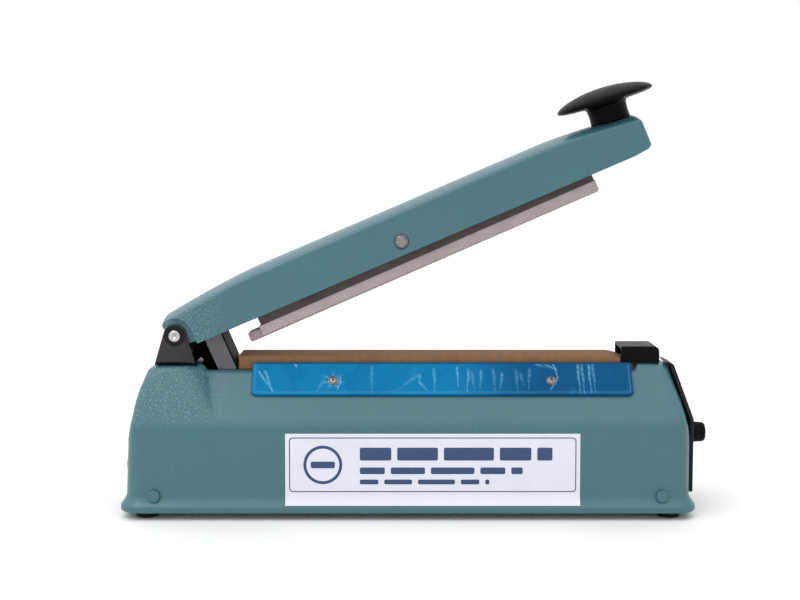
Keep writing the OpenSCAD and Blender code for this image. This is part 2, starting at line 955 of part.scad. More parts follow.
// The arm's side view, its top lowered by d
function arm_outline(d) = concat(
    [[0, -5.5], [9, arm_edge], [arm_l - 11, arm_edge], [arm_l - 2.4, arm_edge + 1], [arm_l - 0.3, arm_edge + 2.4],
        [arm_l, arm_edge + 4.7], [arm_l, arm_top(arm_l) - d - 2.2]],
    [for (u = [arm_l - 2.5, 268, 258, 248, 237, front_fall_u, rear_fall_u, 45, 35, 25, 16, 8, 1]) [u, arm_top(u) - d]],
    [[-3.4, arm_top(0) - d - 1.5], [-5.2, 7.6 - d * 0.5], [-4.6, 4.8 - d * 0.5]]
);

module knob_place() {
    translate([knob_u, 0, knob_v])
        rotate([0, knob_tilt, 0])
            children();
}

module press_arm() {
    inner_hw = arm_w / 2 - 2.8;
    color(paint) arm_frame() difference() {
        union() {
            hull() {
                side_slab(arm_outline(crown_drop), arm_w);
                side_slab(arm_outline(1), arm_w - 9);
                side_slab(arm_outline(0), arm_w - 24);
            }
            cross_rod(0, 0, 6, -lug_hw, lug_hw);
        }
        // Hollow underside, with a flat seat for the striker
        side_slab(concat([[arm_l - 5, -20], [hollow_u, -20], [hollow_u, striker_roof], [striker_u + 1.5, striker_roof]],
            [for (u = [27, 40, rear_fall_u, front_fall_u, 240, 258, arm_l - 5]) [u, arm_top(u) - roof_t]]), 2 * inner_hw);
        // Room for the spring between the lugs
        translate([-15, -9.9, -20])
            cube([28, 19.8, 27.4]);
        // Recess for the bracket's ears
        for (side = [-1, 1]) {
            cross_rod(0, 0, 9.3, side * (lug_hw + 5) - 5, side * (lug_hw + 5) + 5);
            translate([-20, side * (lug_hw + 5) - 5, -20])
                cube([29.6, 10, 20]);
        }
        cross_rod(0, 0, pin_r + fit, -30, 30);
        cross_rod(rock_u, rock_v, rock_r + 0.03, -30, 30);
        cross_rod(rock_u, rock_v, 4.1, -30, -arm_w / 2 + 0.9);
        knob_place() {
            cylinder(r = stem_r + 0.5, h = 12);
            translate([0, 0, -20])
                cylinder(r = 2.6, h = 30);
        }
        for (y = [-5.5, 5.5])
            translate([17.8, y, 0])
                cylinder(r = 1.75, h = 12);
    }
}

hollow_u = 12.5;
striker_u = 22.4;
striker_back = 12.8;
striker_hw = 11.5;
striker_t = 1.5;
striker_tip = -34;
striker_roof = arm_top(hollow_u) - roof_t;

module striker_bracket() {
    color(steel) arm_frame() difference() {
        union() {
            // Flanges, cut back at the foot to pass the jaw
            for (side = [-1, 1])
                translate([0, side * (striker_hw - striker_t / 2), 0])
                    side_slab([[striker_back, striker_roof], [striker_back, -31], [striker_back + 3, striker_tip],
                        [striker_u - 3.4, striker_tip], [striker_u, -30.4], [striker_u, striker_roof]], striker_t);
            translate([striker_u - striker_t, -striker_hw, -26.4])
                cube([striker_t, 2 * striker_hw, 26.4 + striker_roof]);
            translate([striker_back, -striker_hw, striker_roof - striker_t])
                cube([striker_u - striker_back, 2 * striker_hw, striker_t]);
        }
        for (y = [-5.5, 5.5])
            translate([17.8, y, -10])
                cylinder(r = 1.9, h = 24);
    }
}

module striker_cover() {
    color(black) arm_frame()
        translate([striker_u + 0.02, -striker_hw, -26.4])
            cube([0.8, 2 * striker_hw, 19]);
}

module striker_screws() {
    color(steel) arm_frame()
        for (y = [-5.5, 5.5])
            translate([17.8, y, striker_roof - striker_t])
                rotate([180, 0, 0])
                    pan_screw(2.9, 1.8, 1.7, 4.4);
}

// Height of the knob's dome over its rim at radius r
function dome(r) =
    let (cap_r = (knob_r * knob_r + knob_dome * knob_dome) / (2 * knob_dome))
    0.3 * (sqrt(cap_r * cap_r - r * r) - cap_r + knob_dome) + 0.7 * knob_dome * sqrt(1 - pow(r / knob_r, 2));

module handle_knob() {
    color(black) arm_frame() knob_place() difference() {
        rotate_extrude()
            polygon(concat(
                [[0, 0], [stem_r - 0.5, 0], [stem_r, 0.5], [stem_r - 0.5, 4], [stem_r - 0.3, 8.6], [stem_r + 1.4, rim_h - 2.9]],
                [[stem_r + 7, rim_h - 2.1], [knob_r - 1.8, rim_h - 1.3], [knob_r - 0.3, rim_h - 0.6], [knob_r, rim_h + 0.2]],
                [for (k = [0.985, 0.95, 0.88, 0.78, 0.65, 0.5, 0.35, 0.2, 0]) [knob_r * k, rim_h + dome(knob_r * k) + 0.1]]
            ));
        translate([0, 0, -1])
            cylinder(r = 2.45, h = 15);
    }
}

module handle_screw() {
    seat = (arm_top(knob_u) - roof_t - knob_v) / cos(knob_tilt) - 0.2;
    color(steel) arm_frame() knob_place()
        translate([0, 0, seat])
            rotate([180, 0, 0])
                pan_screw(4.4, 2.6, 2.4, 15);
}

module pivot_screw() {
    color(steel) arm_frame()
        translate([rock_u, -arm_w / 2 + 0.9, rock_v])
            rotate([90, 0, 0])
                pan_screw(3.65, 1.9, rock_r, arm_w + 3.4);
}

module pivot_nut() {
    color(steel) arm_frame()
        difference() {
            cross_rod(rock_u, rock_v, 4.6, arm_w / 2, arm_w / 2 + 3.4, $fn = 6);
            cross_rod(rock_u, rock_v, rock_r + 0.03, 0, 30);
        }
}

module pivot_spacers() {
    color(steel) arm_frame()
        for (side = [-1, 1])
            difference() {
                cross_rod(rock_u, rock_v, 4, side * 14.2 - 1.9, side * 14.2 + 1.9);
                cross_rod(rock_u, rock_v, rock_r + 0.03, -30, 30);
            }
}

// Press bar, laid level about its own pivot and turned to its rest slope

module bar_frame() {
    arm_frame()
        translate([rock_u, 0, rock_v])
            rotate([0, arm_open - bar_open, 0])
                children();
}

carrier_hw = 12;
carrier_t = 1.5;
carrier_low = -11.9;
carrier_x0 = -89.8;
carrier_x1 = 109.6;
channel_low = -17.8;
channel_t = 1.4;
rivet_x = [-70, -25, 25, 70];

module press_bar_carrier() {
    color(dark_steel) bar_frame() difference() {
        union() {
            translate([carrier_x0, -carrier_hw, carrier_low])
                cube([carrier_x1 - carrier_x0, 2 * carrier_hw, carrier_t]);
            for (side = [-1, 1])
                translate([0, side * (carrier_hw - carrier_t / 2), 0]) {
                    side_slab([[carrier_x0, carrier_low], [carrier_x1, carrier_low], [carrier_x1, 0],
                        [carrier_x1 - 1, 1], [carrier_x0 + 1, 1], [carrier_x0, 0]], carrier_t);
                    cross_rod(0, 0, 6, -carrier_t / 2, carrier_t / 2);
                }
        }
        cross_rod(0, 0, rock_r + 0.05, -30, 30);
        for (x = rivet_x)
            translate([x, 0, -20])
                cylinder(r = 1.52, h = 12);
    }
}

module press_bar_channel() {
    color([0.62, 0.58, 0.57]) bar_frame() difference() {
        translate([-91.5, -8.6, channel_low])
            cube([bar_front + 91.5, 17.2, carrier_low - channel_low]);
        translate([-100, -7.2, channel_low - 1])
            cube([250, 14.4, carrier_low - channel_t - channel_low + 1]);
        for (x = rivet_x)
            translate([x, 0, -20])
                cylinder(r = 1.52, h = 12);
    }
}

module silicone_strip() {
    color([0.6, 0.57, 0.55]) bar_frame() difference() {
        translate([bar_rear, -7.1, -bar_drop])
            cube([bar_front - bar_rear, 14.2, bar_drop + carrier_low - channel_t - 0.05]);
        for (x = rivet_x)
            translate([x, 0, -14.8])
                cylinder(r = 2.9, h = 4);
    }
}

module bar_rivets() {
    color(steel) bar_frame()
        for (x = rivet_x)
            translate([x, 0, 0])
                rotate_extrude()
                    polygon([[0, -14.6], [2.2, -14.6], [2.6, -14], [2.6, carrier_low - channel_t], [1.5, carrier_low - channel_t],
                        [1.5, carrier_low + carrier_t], [2.6, carrier_low + carrier_t], [2.2, carrier_low + carrier_t + 0.8],
                        [0, carrier_low + carrier_t + 1]]);
}

body_casting();
base_plate();
base_screws();
rubber_feet();
hinge_bracket();
bracket_screws();
hinge_pin();
hinge_bushes();
return_spring();
slot_guard();
jaw_insulator();
element_underlay();
heating_element();
rear_electrode();
front_electrode();
electrode_screws();
ptfe_cloth();
side_strip_near();
side_strip_far();
film_near();
film_far();
strip_screws();
front_cap();
control_panel();
panel_screws();
pilot_lamp();
timer_pot();
timer_shaft();
timer_knob();
circuit_board();
board_parts();
transformer_core();
transformer_winding();
transformer_strap();
strap_screws();
microswitch();
microswitch_plunger();
switch_bracket();
fuse_holder();
cord_grommet();
label();
press_arm();
striker_bracket();
striker_cover();
striker_screws();
handle_knob();
handle_screw();
pivot_screw();
pivot_nut();
pivot_spacers();
press_bar_carrier();
press_bar_channel();
silicone_strip();
bar_rivets();
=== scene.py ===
# Hand impulse heat sealer: the looks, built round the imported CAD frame.
# Shapes are worked out in millimetres in one of three places, then turned into metres:
#   BASE  x along the base from the skirt's middle, z up from the surface under the feet
#   ARM   u along the arm's lower edge from the hinge pin, v across it
#   BAR   w along the press bar from its cross screw
from math import asin, atan2, cos, exp, hypot, pi, radians, sin, sqrt, tan

import bmesh
import bpy
import numpy as np
from mathutils import Matrix, Vector


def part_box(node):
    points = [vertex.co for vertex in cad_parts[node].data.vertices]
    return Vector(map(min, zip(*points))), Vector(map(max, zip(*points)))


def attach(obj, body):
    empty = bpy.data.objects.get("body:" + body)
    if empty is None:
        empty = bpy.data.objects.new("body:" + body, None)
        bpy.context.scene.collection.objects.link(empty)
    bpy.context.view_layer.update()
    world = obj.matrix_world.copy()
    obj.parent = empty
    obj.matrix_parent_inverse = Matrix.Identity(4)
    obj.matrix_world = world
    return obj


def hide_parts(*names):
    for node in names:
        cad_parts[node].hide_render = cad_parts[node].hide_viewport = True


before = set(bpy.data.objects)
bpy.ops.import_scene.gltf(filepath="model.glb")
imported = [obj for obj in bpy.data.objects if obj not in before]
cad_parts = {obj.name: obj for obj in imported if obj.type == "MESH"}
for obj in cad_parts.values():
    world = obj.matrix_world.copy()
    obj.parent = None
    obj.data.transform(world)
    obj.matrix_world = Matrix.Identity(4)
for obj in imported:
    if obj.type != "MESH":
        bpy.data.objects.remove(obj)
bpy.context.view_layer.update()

MM = 0.001
move = Matrix.Translation


def turned(angle, axis):
    return Matrix.Rotation(angle, 4, axis)


# ---- places

skirt_low, skirt_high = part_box("body_casting")
SHELL_X = (skirt_low.x + skirt_high.x) / 2 / MM
pin_low, pin_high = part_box("hinge_pin")
PIVOT = (pin_low + pin_high) / 2
ARM_TILT = radians(23.2)
BAR_TILT = radians(23.58)
ROCK = (134.4, -1.5)

BASE = move((SHELL_X * MM, 0, 0)) @ Matrix.Scale(MM, 4)
ARM = move(PIVOT) @ turned(-ARM_TILT, "Y") @ Matrix.Scale(MM, 4)
BAR = ARM @ move((ROCK[0], 0, ROCK[1])) @ turned(ARM_TILT - BAR_TILT, "Y")
KNOB = ARM @ move((266.3, 0, 12.2)) @ turned(radians(6), "Y")

CREASE_Z, DECK_Z, END_DECK_Z = 52.0, 78.1, 81.4
CREASE_HW, DECK_HW, WALL_HW, WALL_HL = 35.0, 15.0, 36.6, 153.6
FLARE_Z, LIP_Z, LIP, FOOT_H = 14.7, 7.4, 3.4, 4.0
SLOPE = atan2(CREASE_HW - DECK_HW, DECK_Z - CREASE_Z)
WALL_LEAN = 0.0429
JAW_TOP, JAW_BEND, BEND_R, BEND_A = 85.2, 111.7, 16.0, radians(15)
PANEL_X, TIMER_Z = 156.0, 40.7
STRIP_SCREW_X, STRIP_SCREW_S, STRIP_T = (-40.9, 78.8), 7.2, 1.5

# ---- mesh tools


def mesh_object(name, bm, place=Matrix.Identity(4), sharp=35):
    """A piece made from a bmesh, shaded smooth except over edges sharper than the given angle."""
    bm.transform(place)
    bmesh.ops.recalc_face_normals(bm, faces=bm.faces)
    mesh = bpy.data.meshes.new(name)
    shade(bm, sharp)
    bm.to_mesh(mesh)
    bm.free()
    obj = bpy.data.objects.new(name, mesh)
    bpy.context.scene.collection.objects.link(obj)
    return obj


def shade(bm, sharp):
    limit = radians(sharp)
    for face in bm.faces:
        face.smooth = True
    for edge in bm.edges:
        edge.smooth = len(edge.link_faces) != 2 or edge.calc_face_angle(0) < limit


def join_meshes(*parts):
    """One bmesh holding all the given ones."""
    whole = bmesh.new()
    for part in parts:
        mesh = bpy.data.meshes.new("part")
        part.to_mesh(mesh)
        part.free()
        whole.from_mesh(mesh)
        bpy.data.meshes.remove(mesh)
    return whole


def grid_faces(bm, rows, close_rows=False, close_columns=False):
    """Quads between rows of vertices."""
    count, width = len(rows), len(rows[0])
    for i in range(count if close_rows else count - 1):
        for j in range(width if close_columns else width - 1):
            a, b = rows[i], rows[(i + 1) % count]
            k = (j + 1) % width
            bm.faces.new((a[j], a[k], b[k], b[j]))


def lathe(profile, segments=64):
    """A solid of revolution about Z from (radius, height) points; a radius of 0 makes a pole."""
    bm = bmesh.new()
    rows = []
    for r, h in profile:
        if r < 1e-6:
            rows.append([bm.verts.new((0, 0, h))])
            continue
        turn = [2 * pi * k / segments for k in range(segments)]
        rows.append([bm.verts.new((r * cos(a), r * sin(a), h)) for a in turn])
    for low, high in zip(rows, rows[1:]):
        for k in range(segments):
            m = (k + 1) % segments
            corner = [low[k % len(low)], low[m % len(low)], high[m % len(high)], high[k % len(high)]]
            face = list(dict.fromkeys(corner))
            if len(face) > 2:
                bm.faces.new(face)
    return bm


def prism(outline, y0, y1):
    """An [x, z] outline drawn out from y0 to y1."""
    bm = bmesh.new()
    near = [bm.verts.new((x, y0, z)) for x, z in outline]
    far = [bm.verts.new((x, y1, z)) for x, z in outline]
    bm.faces.new(near)
    bm.faces.new(list(reversed(far)))
    for k in range(len(outline)):
        m = (k + 1) % len(outline)
        bm.faces.new((near[k], near[m], far[m], far[k]))
    bmesh.ops.recalc_face_normals(bm, faces=bm.faces)
    return bm


def block(low, high, round_by=0.0, segments=3):
    """A box with all its edges rounded."""
    bm = bmesh.new()
    bmesh.ops.create_cube(bm, size=1)
    size = [h - l for l, h in zip(low, high)]
    middle = [(h + l) / 2 for l, h in zip(low, high)]
    bmesh.ops.scale(bm, vec=size, verts=bm.verts)
    bmesh.ops.translate(bm, vec=middle, verts=bm.verts)
    if round_by:
        bmesh.ops.bevel(bm, geom=list(bm.edges), offset=round_by, segments=segments, profile=0.5,
                        affect="EDGES")
    return bm


def rod(start, end, radius, segments=48):
    """A plain round bar, used as a cutter or as the core of a piece."""
    a, b = Vector(start), Vector(end)
    bm = lathe([(0, 0), (radius, 0), (radius, (b - a).length), (0, (b - a).length)], segments)
    turn = Vector((0, 0, 1)).rotation_difference(b - a).to_matrix().to_4x4()
    bm.transform(move(a) @ turn)
    return bm


def tube_along(points, radius):
    """A wire through the points, with flat ends."""
    segments = 12
    bm = bmesh.new()
    points = [Vector(p) for p in points]
    rows = []
    side = None
    for i, p in enumerate(points):
        ahead = (points[min(i + 1, len(points) - 1)] - points[max(i - 1, 0)]).normalized()
        if side is None:
            side = ahead.orthogonal().normalized()
        side = (side - ahead * side.dot(ahead)).normalized()
        up = ahead.cross(side)
        turn = [2 * pi * k / segments for k in range(segments)]
        rows.append([bm.verts.new(p + radius * (side * cos(a) + up * sin(a))) for a in turn])
    grid_faces(bm, rows, close_columns=True)
    for row in (rows[0], rows[-1]):
        ring = bm.faces.new(row)
        bmesh.ops.inset_region(bm, faces=[ring], thickness=radius * 0.4, depth=0)
    return bm


def apply_modifier(obj, modifier):
    """Works a modifier's result into the piece's own mesh."""
    bpy.context.view_layer.update()
    made = bpy.data.meshes.new_from_object(obj.evaluated_get(bpy.context.evaluated_depsgraph_get()))
    obj.modifiers.remove(modifier)
    old, obj.data = obj.data, made
    bpy.data.meshes.remove(old)


def discard(obj):
    """Removes a helper object and its mesh."""
    spent = obj.data
    bpy.data.objects.remove(obj)
    bpy.data.meshes.remove(spent)


def carve(obj, *cutters):
    """Cuts each bmesh, laid out as the piece is, out of the piece."""
    for k, bm in enumerate(cutters):
        bmesh.ops.recalc_face_normals(bm, faces=bm.faces)
        tool = mesh_object(f"cutter{k}", bm)
        cut = obj.modifiers.new("cut", "BOOLEAN")
        cut.operation, cut.solver, cut.object = "DIFFERENCE", "EXACT", tool
        apply_modifier(obj, cut)
        discard(tool)
    bm = bmesh.new()
    bm.from_mesh(obj.data)
    bmesh.ops.remove_doubles(bm, verts=bm.verts, dist=1e-7)
    bmesh.ops.dissolve_degenerate(bm, edges=bm.edges, dist=1e-8)
    shade(bm, 35)
    bm.to_mesh(obj.data)
    bm.free()


def arc(cx, cz, r, a0, a1, count):
    """Points on a circle from angle a0 to a1, in degrees."""
    turn = [radians(a0 + (a1 - a0) * k / count) for k in range(count + 1)]
    return [(cx + r * cos(a), cz + r * sin(a)) for a in turn]


def on_slope(x, s, h, side):
    """A point on the near (-1) or far (1) slope: s down from the deck's edge and h out of the slope."""
    out, down = cos(SLOPE), sin(SLOPE)
    return (x, side * (DECK_HW + s * down + h * out), DECK_Z - s * out + h * down)


def slope_frame(x, s, h, side):
    """The matrix that stands a piece's Z axis out of the sloping side."""
    out = Vector((0, side * cos(SLOPE), sin(SLOPE)))
    along = Vector((1, 0, 0))
    across = out.cross(along)
    turn = Matrix((along, across, out)).transposed().to_4x4()
    return move(on_slope(x, s, h, side)) @ turn


def screw(head_r, head_h, shank_r, shank_l):
    """Cross-head screw pointing down, the underside of its domed head at the origin."""
    dome = [(head_r * sin(t), head_h * (0.42 + 0.58 * cos(t)))
            for t in np.linspace(pi / 2, 0.12, 9)]
    groove = (dome[3][0] - 0.12, dome[3][1] - 0.22)
    profile = [(0, -shank_l), (shank_r * 0.7, -shank_l), (shank_r, -shank_l + 0.6), (shank_r, -0.02),
               (head_r * 0.96, 0), (head_r, 0.1), *dome[:4], groove, *dome[4:], (0, head_h)]
    obj = mesh_object("screw", lathe(profile, 56))
    arm, half, deep = head_r * 0.64, head_r * 0.13, -head_h * 0.1
    cuts = []
    for turn in (0.35, 0.35 + pi / 2):
        slot_shape = [(-arm, head_h + 1), (-arm * 0.85, deep), (arm * 0.85, deep), (arm, head_h + 1)]
        cutter = prism(slot_shape, -half, half)
        cutter.transform(turned(turn, "Z"))
        cuts.append(cutter)
    carve(obj, *cuts)
    bm = bmesh.new()
    bm.from_mesh(obj.data)
    discard(obj)
    return bm


def placed(bm, *places):
    """One bmesh with a copy of bm at each place."""
    copies = []
    for place in places:
        copy = bm.copy()
        copy.transform(place)
        copies.append(copy)
    bm.free()
    return join_meshes(*copies)


def thicken(obj, thickness):
    """Turns an open skin into a closed one of the given thickness, kept inside the drawn surface."""
    solid = obj.modifiers.new("thickness", "SOLIDIFY")
    solid.thickness, solid.offset, solid.use_even_offset = thickness, -1, True
    apply_modifier(obj, solid)


# Rounded solids: a field is negative inside, and every ray from the core meets its surface once


def round_and(a, b, r):
    """Where two fields overlap, with the edge between them rounded."""
    return np.minimum(np.maximum(a, b), -r) + np.hypot(np.maximum(a + r, 0), np.maximum(b + r, 0))


def round_or(a, b, r):
    return -round_and(-a, -b, r)


def plane(px, pz, nx, nz, x, z):
    """Distance from the line through (px, pz) whose outward normal is (nx, nz)."""
    return ((x - px) * nx + (z - pz) * nz) / hypot(nx, nz)


def surface_of(field, xs, ys, zs, core_x, core_z):
    """A closed lid-shaped mesh of the field's surface.

    Rays start on the core line, and are level below core_z.
    """
    reach, halvings = 400.0, 44
    nx, ny, nz = len(xs), len(ys), len(zs)
    index, grid = {}, []

    def vertex(i, j, k):
        if (i, j, k) not in index:
            index[(i, j, k)] = len(grid)
            grid.append((xs[i], ys[j], zs[k]))
        return index[(i, j, k)]

    quads = []

    def quad(*corners):
        quads.append([vertex(*corner) for corner in corners])

    right, back, top = nx - 1, ny - 1, nz - 1
    for k in range(top):
        for i in range(right):
            quad((i, 0, k), (i + 1, 0, k), (i + 1, 0, k + 1), (i, 0, k + 1))
            quad((i, back, k), (i, back, k + 1), (i + 1, back, k + 1), (i + 1, back, k))
        for j in range(back):
            quad((0, j, k), (0, j, k + 1), (0, j + 1, k + 1), (0, j + 1, k))
            quad((right, j, k), (right, j + 1, k), (right, j + 1, k + 1), (right, j, k + 1))
    for i in range(right):
        for j in range(back):
            quad((i, j, top), (i + 1, j, top), (i + 1, j + 1, top), (i, j + 1, top))
    rim = [vertex(i, 0, 0) for i in range(nx)] + [vertex(right, j, 0) for j in range(1, ny)]
    rim += [vertex(i, back, 0) for i in range(nx - 2, -1, -1)]
    rim += [vertex(0, j, 0) for j in range(ny - 2, 0, -1)]

    end = np.array(grid, float)
    start = np.stack([np.clip(end[:, 0], *core_x), np.zeros(len(end)), np.minimum(end[:, 2], core_z)], axis=1)
    ray = end - start
    ray /= np.linalg.norm(ray, axis=1)[:, None]
    near, far = np.zeros(len(end)), np.full(len(end), reach)
    for _ in range(halvings):
        middle = (near + far) / 2
        outside = field(start + ray * middle[:, None]) > 0
        far = np.where(outside, middle, far)
        near = np.where(outside, near, middle)
    hit = start + ray * far[:, None]

    bm = bmesh.new()
    made = [bm.verts.new(p) for p in hit]
    for q in quads:
        bm.faces.new([made[k] for k in q])
    bm.faces.new([made[k] for k in reversed(rim)])
    return bm


def steps(*stops):
    """Numbers from (start, step), (next, step), ... to a last bare number."""
    out = []
    ends = [stop[0] for stop in stops[1:-1]] + [stops[-1]]
    for (a, step), b in zip(stops, ends):
        count = max(1, round((b - a) / step))
        out += [a + (b - a) * k / count for k in range(count)]
    return out + [stops[-1]]


# ---- materials


class Paint:
    """A procedural material: one Principled shader, with texture nodes added by name."""

    def __init__(self, name, colour, roughness, metallic=0.0, coat=0.0, coat_roughness=0.1, specular=0.5):
        self.material = bpy.data.materials.new(name)
        self.material.use_nodes = True
        self.tree = self.material.node_tree
        self.shader = self.tree.nodes["Principled BSDF"]
        self.colour = (*colour, 1)
        self.set("Base Color", self.colour)
        self.set("Roughness", roughness)
        self.set("Metallic", metallic)
        self.set("Coat Weight", coat)
        self.set("Coat Roughness", coat_roughness)
        self.set("Specular IOR Level", specular)
        self.where = self.tree.nodes.new("ShaderNodeTexCoord").outputs["Object"]
        self.bump_chain = None

    def set(self, socket, value):
        self.shader.inputs[socket].default_value = value

    def link(self, a, b):
        self.tree.links.new(a, b)

    def feed(self, socket, value):
        """Links an output to the socket, or sets a plain value on it."""
        if isinstance(value, bpy.types.NodeSocket):
            self.link(value, socket)
        else:
            socket.default_value = value

    def node(self, kind, inputs=(), **settings):
        made = self.tree.nodes.new("ShaderNode" + kind)
        for key, value in settings.items():
            setattr(made, key, value)
        for key, value in dict(inputs).items():
            self.feed(made.inputs[key], value)
        return made

    def stretched(self, x, y, z):
        """Object coordinates scaled apart, for grain that runs one way."""
        return self.node("Mapping", {"Vector": self.where, "Scale": (x, y, z)}).outputs["Vector"]

    def noise(self, scale, detail=3.0, roughness=0.55, where=None, distortion=0.0):
        return self.node("TexNoise", {"Vector": where or self.where, "Scale": scale, "Detail": detail,
                                      "Roughness": roughness, "Distortion": distortion}).outputs["Fac"]

    def cells(self, scale, smooth=None):
        """Distance to the nearest of scattered points, with the borders between them softened if asked."""
        feature = "SMOOTH_F1" if smooth else "F1"
        made = self.node("TexVoronoi", {"Vector": self.where, "Scale": scale}, feature=feature)
        if smooth:
            made.inputs["Smoothness"].default_value = smooth
        return made.outputs["Distance"]

    def ramp(self, fac, *stops):
        made = self.node("ValToRGB", {"Fac": fac})
        band = made.color_ramp
        while len(band.elements) < len(stops):
            band.elements.new(0.5)
        for element, (at, colour) in zip(band.elements, stops):
            element.position = at
            element.color = (*colour, 1) if isinstance(colour, tuple) else (colour, colour, colour, 1)
        return made.outputs["Color"]

    def math(self, operation, a, b):
        made = self.node("Math", operation=operation)
        for socket, value in zip(made.inputs, (a, b)):
            self.feed(socket, value)
        return made.outputs["Value"]

    def mix_base(self, fac, colour, blend="MIX"):
        """Blends a colour, plain or from a socket, over what feeds the base colour now."""
        base = self.shader.inputs["Base Color"]
        made = self.node("Mix", data_type="RGBA", blend_type=blend)
        a, b = made.inputs[6], made.inputs[7]
        self.feed(made.inputs[0], fac)
        self.feed(a, base.links[0].from_socket if base.links else self.colour)
        self.feed(b, (*colour, 1) if isinstance(colour, tuple) else colour)
        self.link(made.outputs[2], base)

    def tint(self, fac, low, high):
        """Base colour times a grey that runs from low to high as fac does."""
        self.mix_base(1.0, self.ramp(fac, (0.3, low), (0.7, high)), "MULTIPLY")

    def recolour(self, fac, colour):
        """Base colour turned to another one where fac is high."""
        self.mix_base(fac, colour)

    def rough(self, fac, low, high):
        made = self.node("MapRange", {"Value": fac, "From Min": 0.3, "From Max": 0.7,
                                      "To Min": low, "To Max": high})
        self.link(made.outputs["Result"], self.shader.inputs["Roughness"])

    def between(self, value, low, high, **settings):
        """0 where value is low and 1 where it is high, in a straight run between unless set otherwise."""
        made = self.node("MapRange", {"Value": value, "From Min": low, "From Max": high}, **settings)
        return made.outputs["Result"]

    def bump(self, height, distance_mm, strength=1.0):
        made = self.node("Bump", {"Height": height, "Distance": distance_mm * MM, "Strength": strength})
        if self.bump_chain:
            self.link(self.bump_chain, made.inputs["Normal"])
        self.bump_chain = made.outputs["Normal"]
        self.link(self.bump_chain, self.shader.inputs["Normal"])


def hammertone():
    """Blue-green hammer paint: rounded pebbles, strongest round the hinge, where the paint lies thickest,
    with painted shade between the pebbles and painted highlights on their tops near the hinge.
    """
    p = Paint("hammertone", (0.038, 0.122, 0.150), 0.30, coat=0.2, coat_roughness=0.2, specular=0.40)
    pebbles = p.between(p.cells(860, smooth=0.55), 0.12, 0.62, interpolation_type="SMOOTHSTEP")
    place = p.node("SeparateXYZ", {"Vector": p.where})
    rear = p.between(place.outputs["X"], -0.104, -0.116)
    high = p.between(place.outputs["Z"], 0.050, 0.058)
    near_hinge = p.math("MULTIPLY", rear, high)
    p.tint(p.noise(24, 3), 0.96, 1.04)
    # Slightly darker between the pebbles: painted shade in their hollows.
    p.tint(pebbles, 1.03, 0.96)
    # Lighter on the pebble tops near the hinge: a painted highlight.
    ridges = p.math("MULTIPLY", near_hinge, p.math("SUBTRACT", 1.0, pebbles))
    p.recolour(p.math("MULTIPLY", ridges, 0.55), (0.15, 0.27, 0.30))
    p.rough(p.noise(500, 2), 0.26, 0.42)
    p.bump(p.math("MULTIPLY", pebbles, near_hinge), -0.33, 1.0)
    p.bump(p.noise(620, 1, 0.4), 0.05, 0.8)
    return p.material


def metal(name, colour, roughness, grain=(1, 1, 1), spread=0.08, marks=0.0):
    """Plain or brushed metal with faint handling marks."""
    p = Paint(name, colour, roughness, metallic=1.0)
    grains = p.noise(900, 3, where=p.stretched(*grain))
    blotch = p.noise(70, 4)
    p.tint(blotch, 0.86, 1.08)
    p.rough(grains, max(0.05, roughness - spread), roughness + spread)
    p.bump(grains, 0.02, 0.6)
    if marks:
        p.recolour(p.ramp(p.noise(210, 5, 0.7), (0.56, 0.0), (0.74, marks)), tuple(c * 0.35 for c in colour))
    return p.material


def plastic(name, colour, roughness, grain_scale=1500, grain_mm=0.03, specular=0.5, subsurface=0.0):
    """Moulded plastic or rubber with a fine spark-eroded grain."""
    p = Paint(name, colour, roughness, specular=specular)
    if subsurface:
        p.set("Subsurface Weight", subsurface)
        p.set("Subsurface Scale", 0.002)
    grain = p.noise(grain_scale, 2)
    p.tint(p.noise(90, 3), 0.88, 1.12)
    p.rough(p.noise(300, 4), max(0.05, roughness - 0.07), roughness + 0.07)
    p.bump(grain, grain_mm, 0.6)
    return p.material


def glass_cloth():
    """PTFE-coated glass cloth: brown, with a fine plain weave showing through the coating."""
    p = Paint("glass_cloth", (0.192, 0.106, 0.056), 0.46, specular=0.02)
    warp = p.node("TexWave", {"Vector": p.where, "Scale": 330.0, "Distortion": 0.3, "Detail": 1.0},
                  wave_type="BANDS", bands_direction="X").outputs["Fac"]
    weft = p.node("TexWave", {"Vector": p.stretched(0, 1, 1), "Scale": 330.0, "Distortion": 0.3,
                              "Detail": 1.0}, wave_type="BANDS", bands_direction="DIAGONAL").outputs["Fac"]
    weave = p.math("MULTIPLY", warp, weft)
    streaks = p.noise(60, 4, where=p.stretched(5, 0.4, 0.4))
    p.tint(streaks, 0.88, 1.10)
    p.tint(weave, 0.94, 1.06)
    p.recolour(p.ramp(p.noise(35, 3), (0.5, 0.0), (0.8, 0.35)), (0.16, 0.075, 0.04))
    p.rough(streaks, 0.50, 0.66)
    p.bump(weave, 0.05, 0.8)
    p.bump(p.noise(45, 3, where=p.stretched(4, 0.6, 0.6)), 0.10, 0.4)
    return p.material


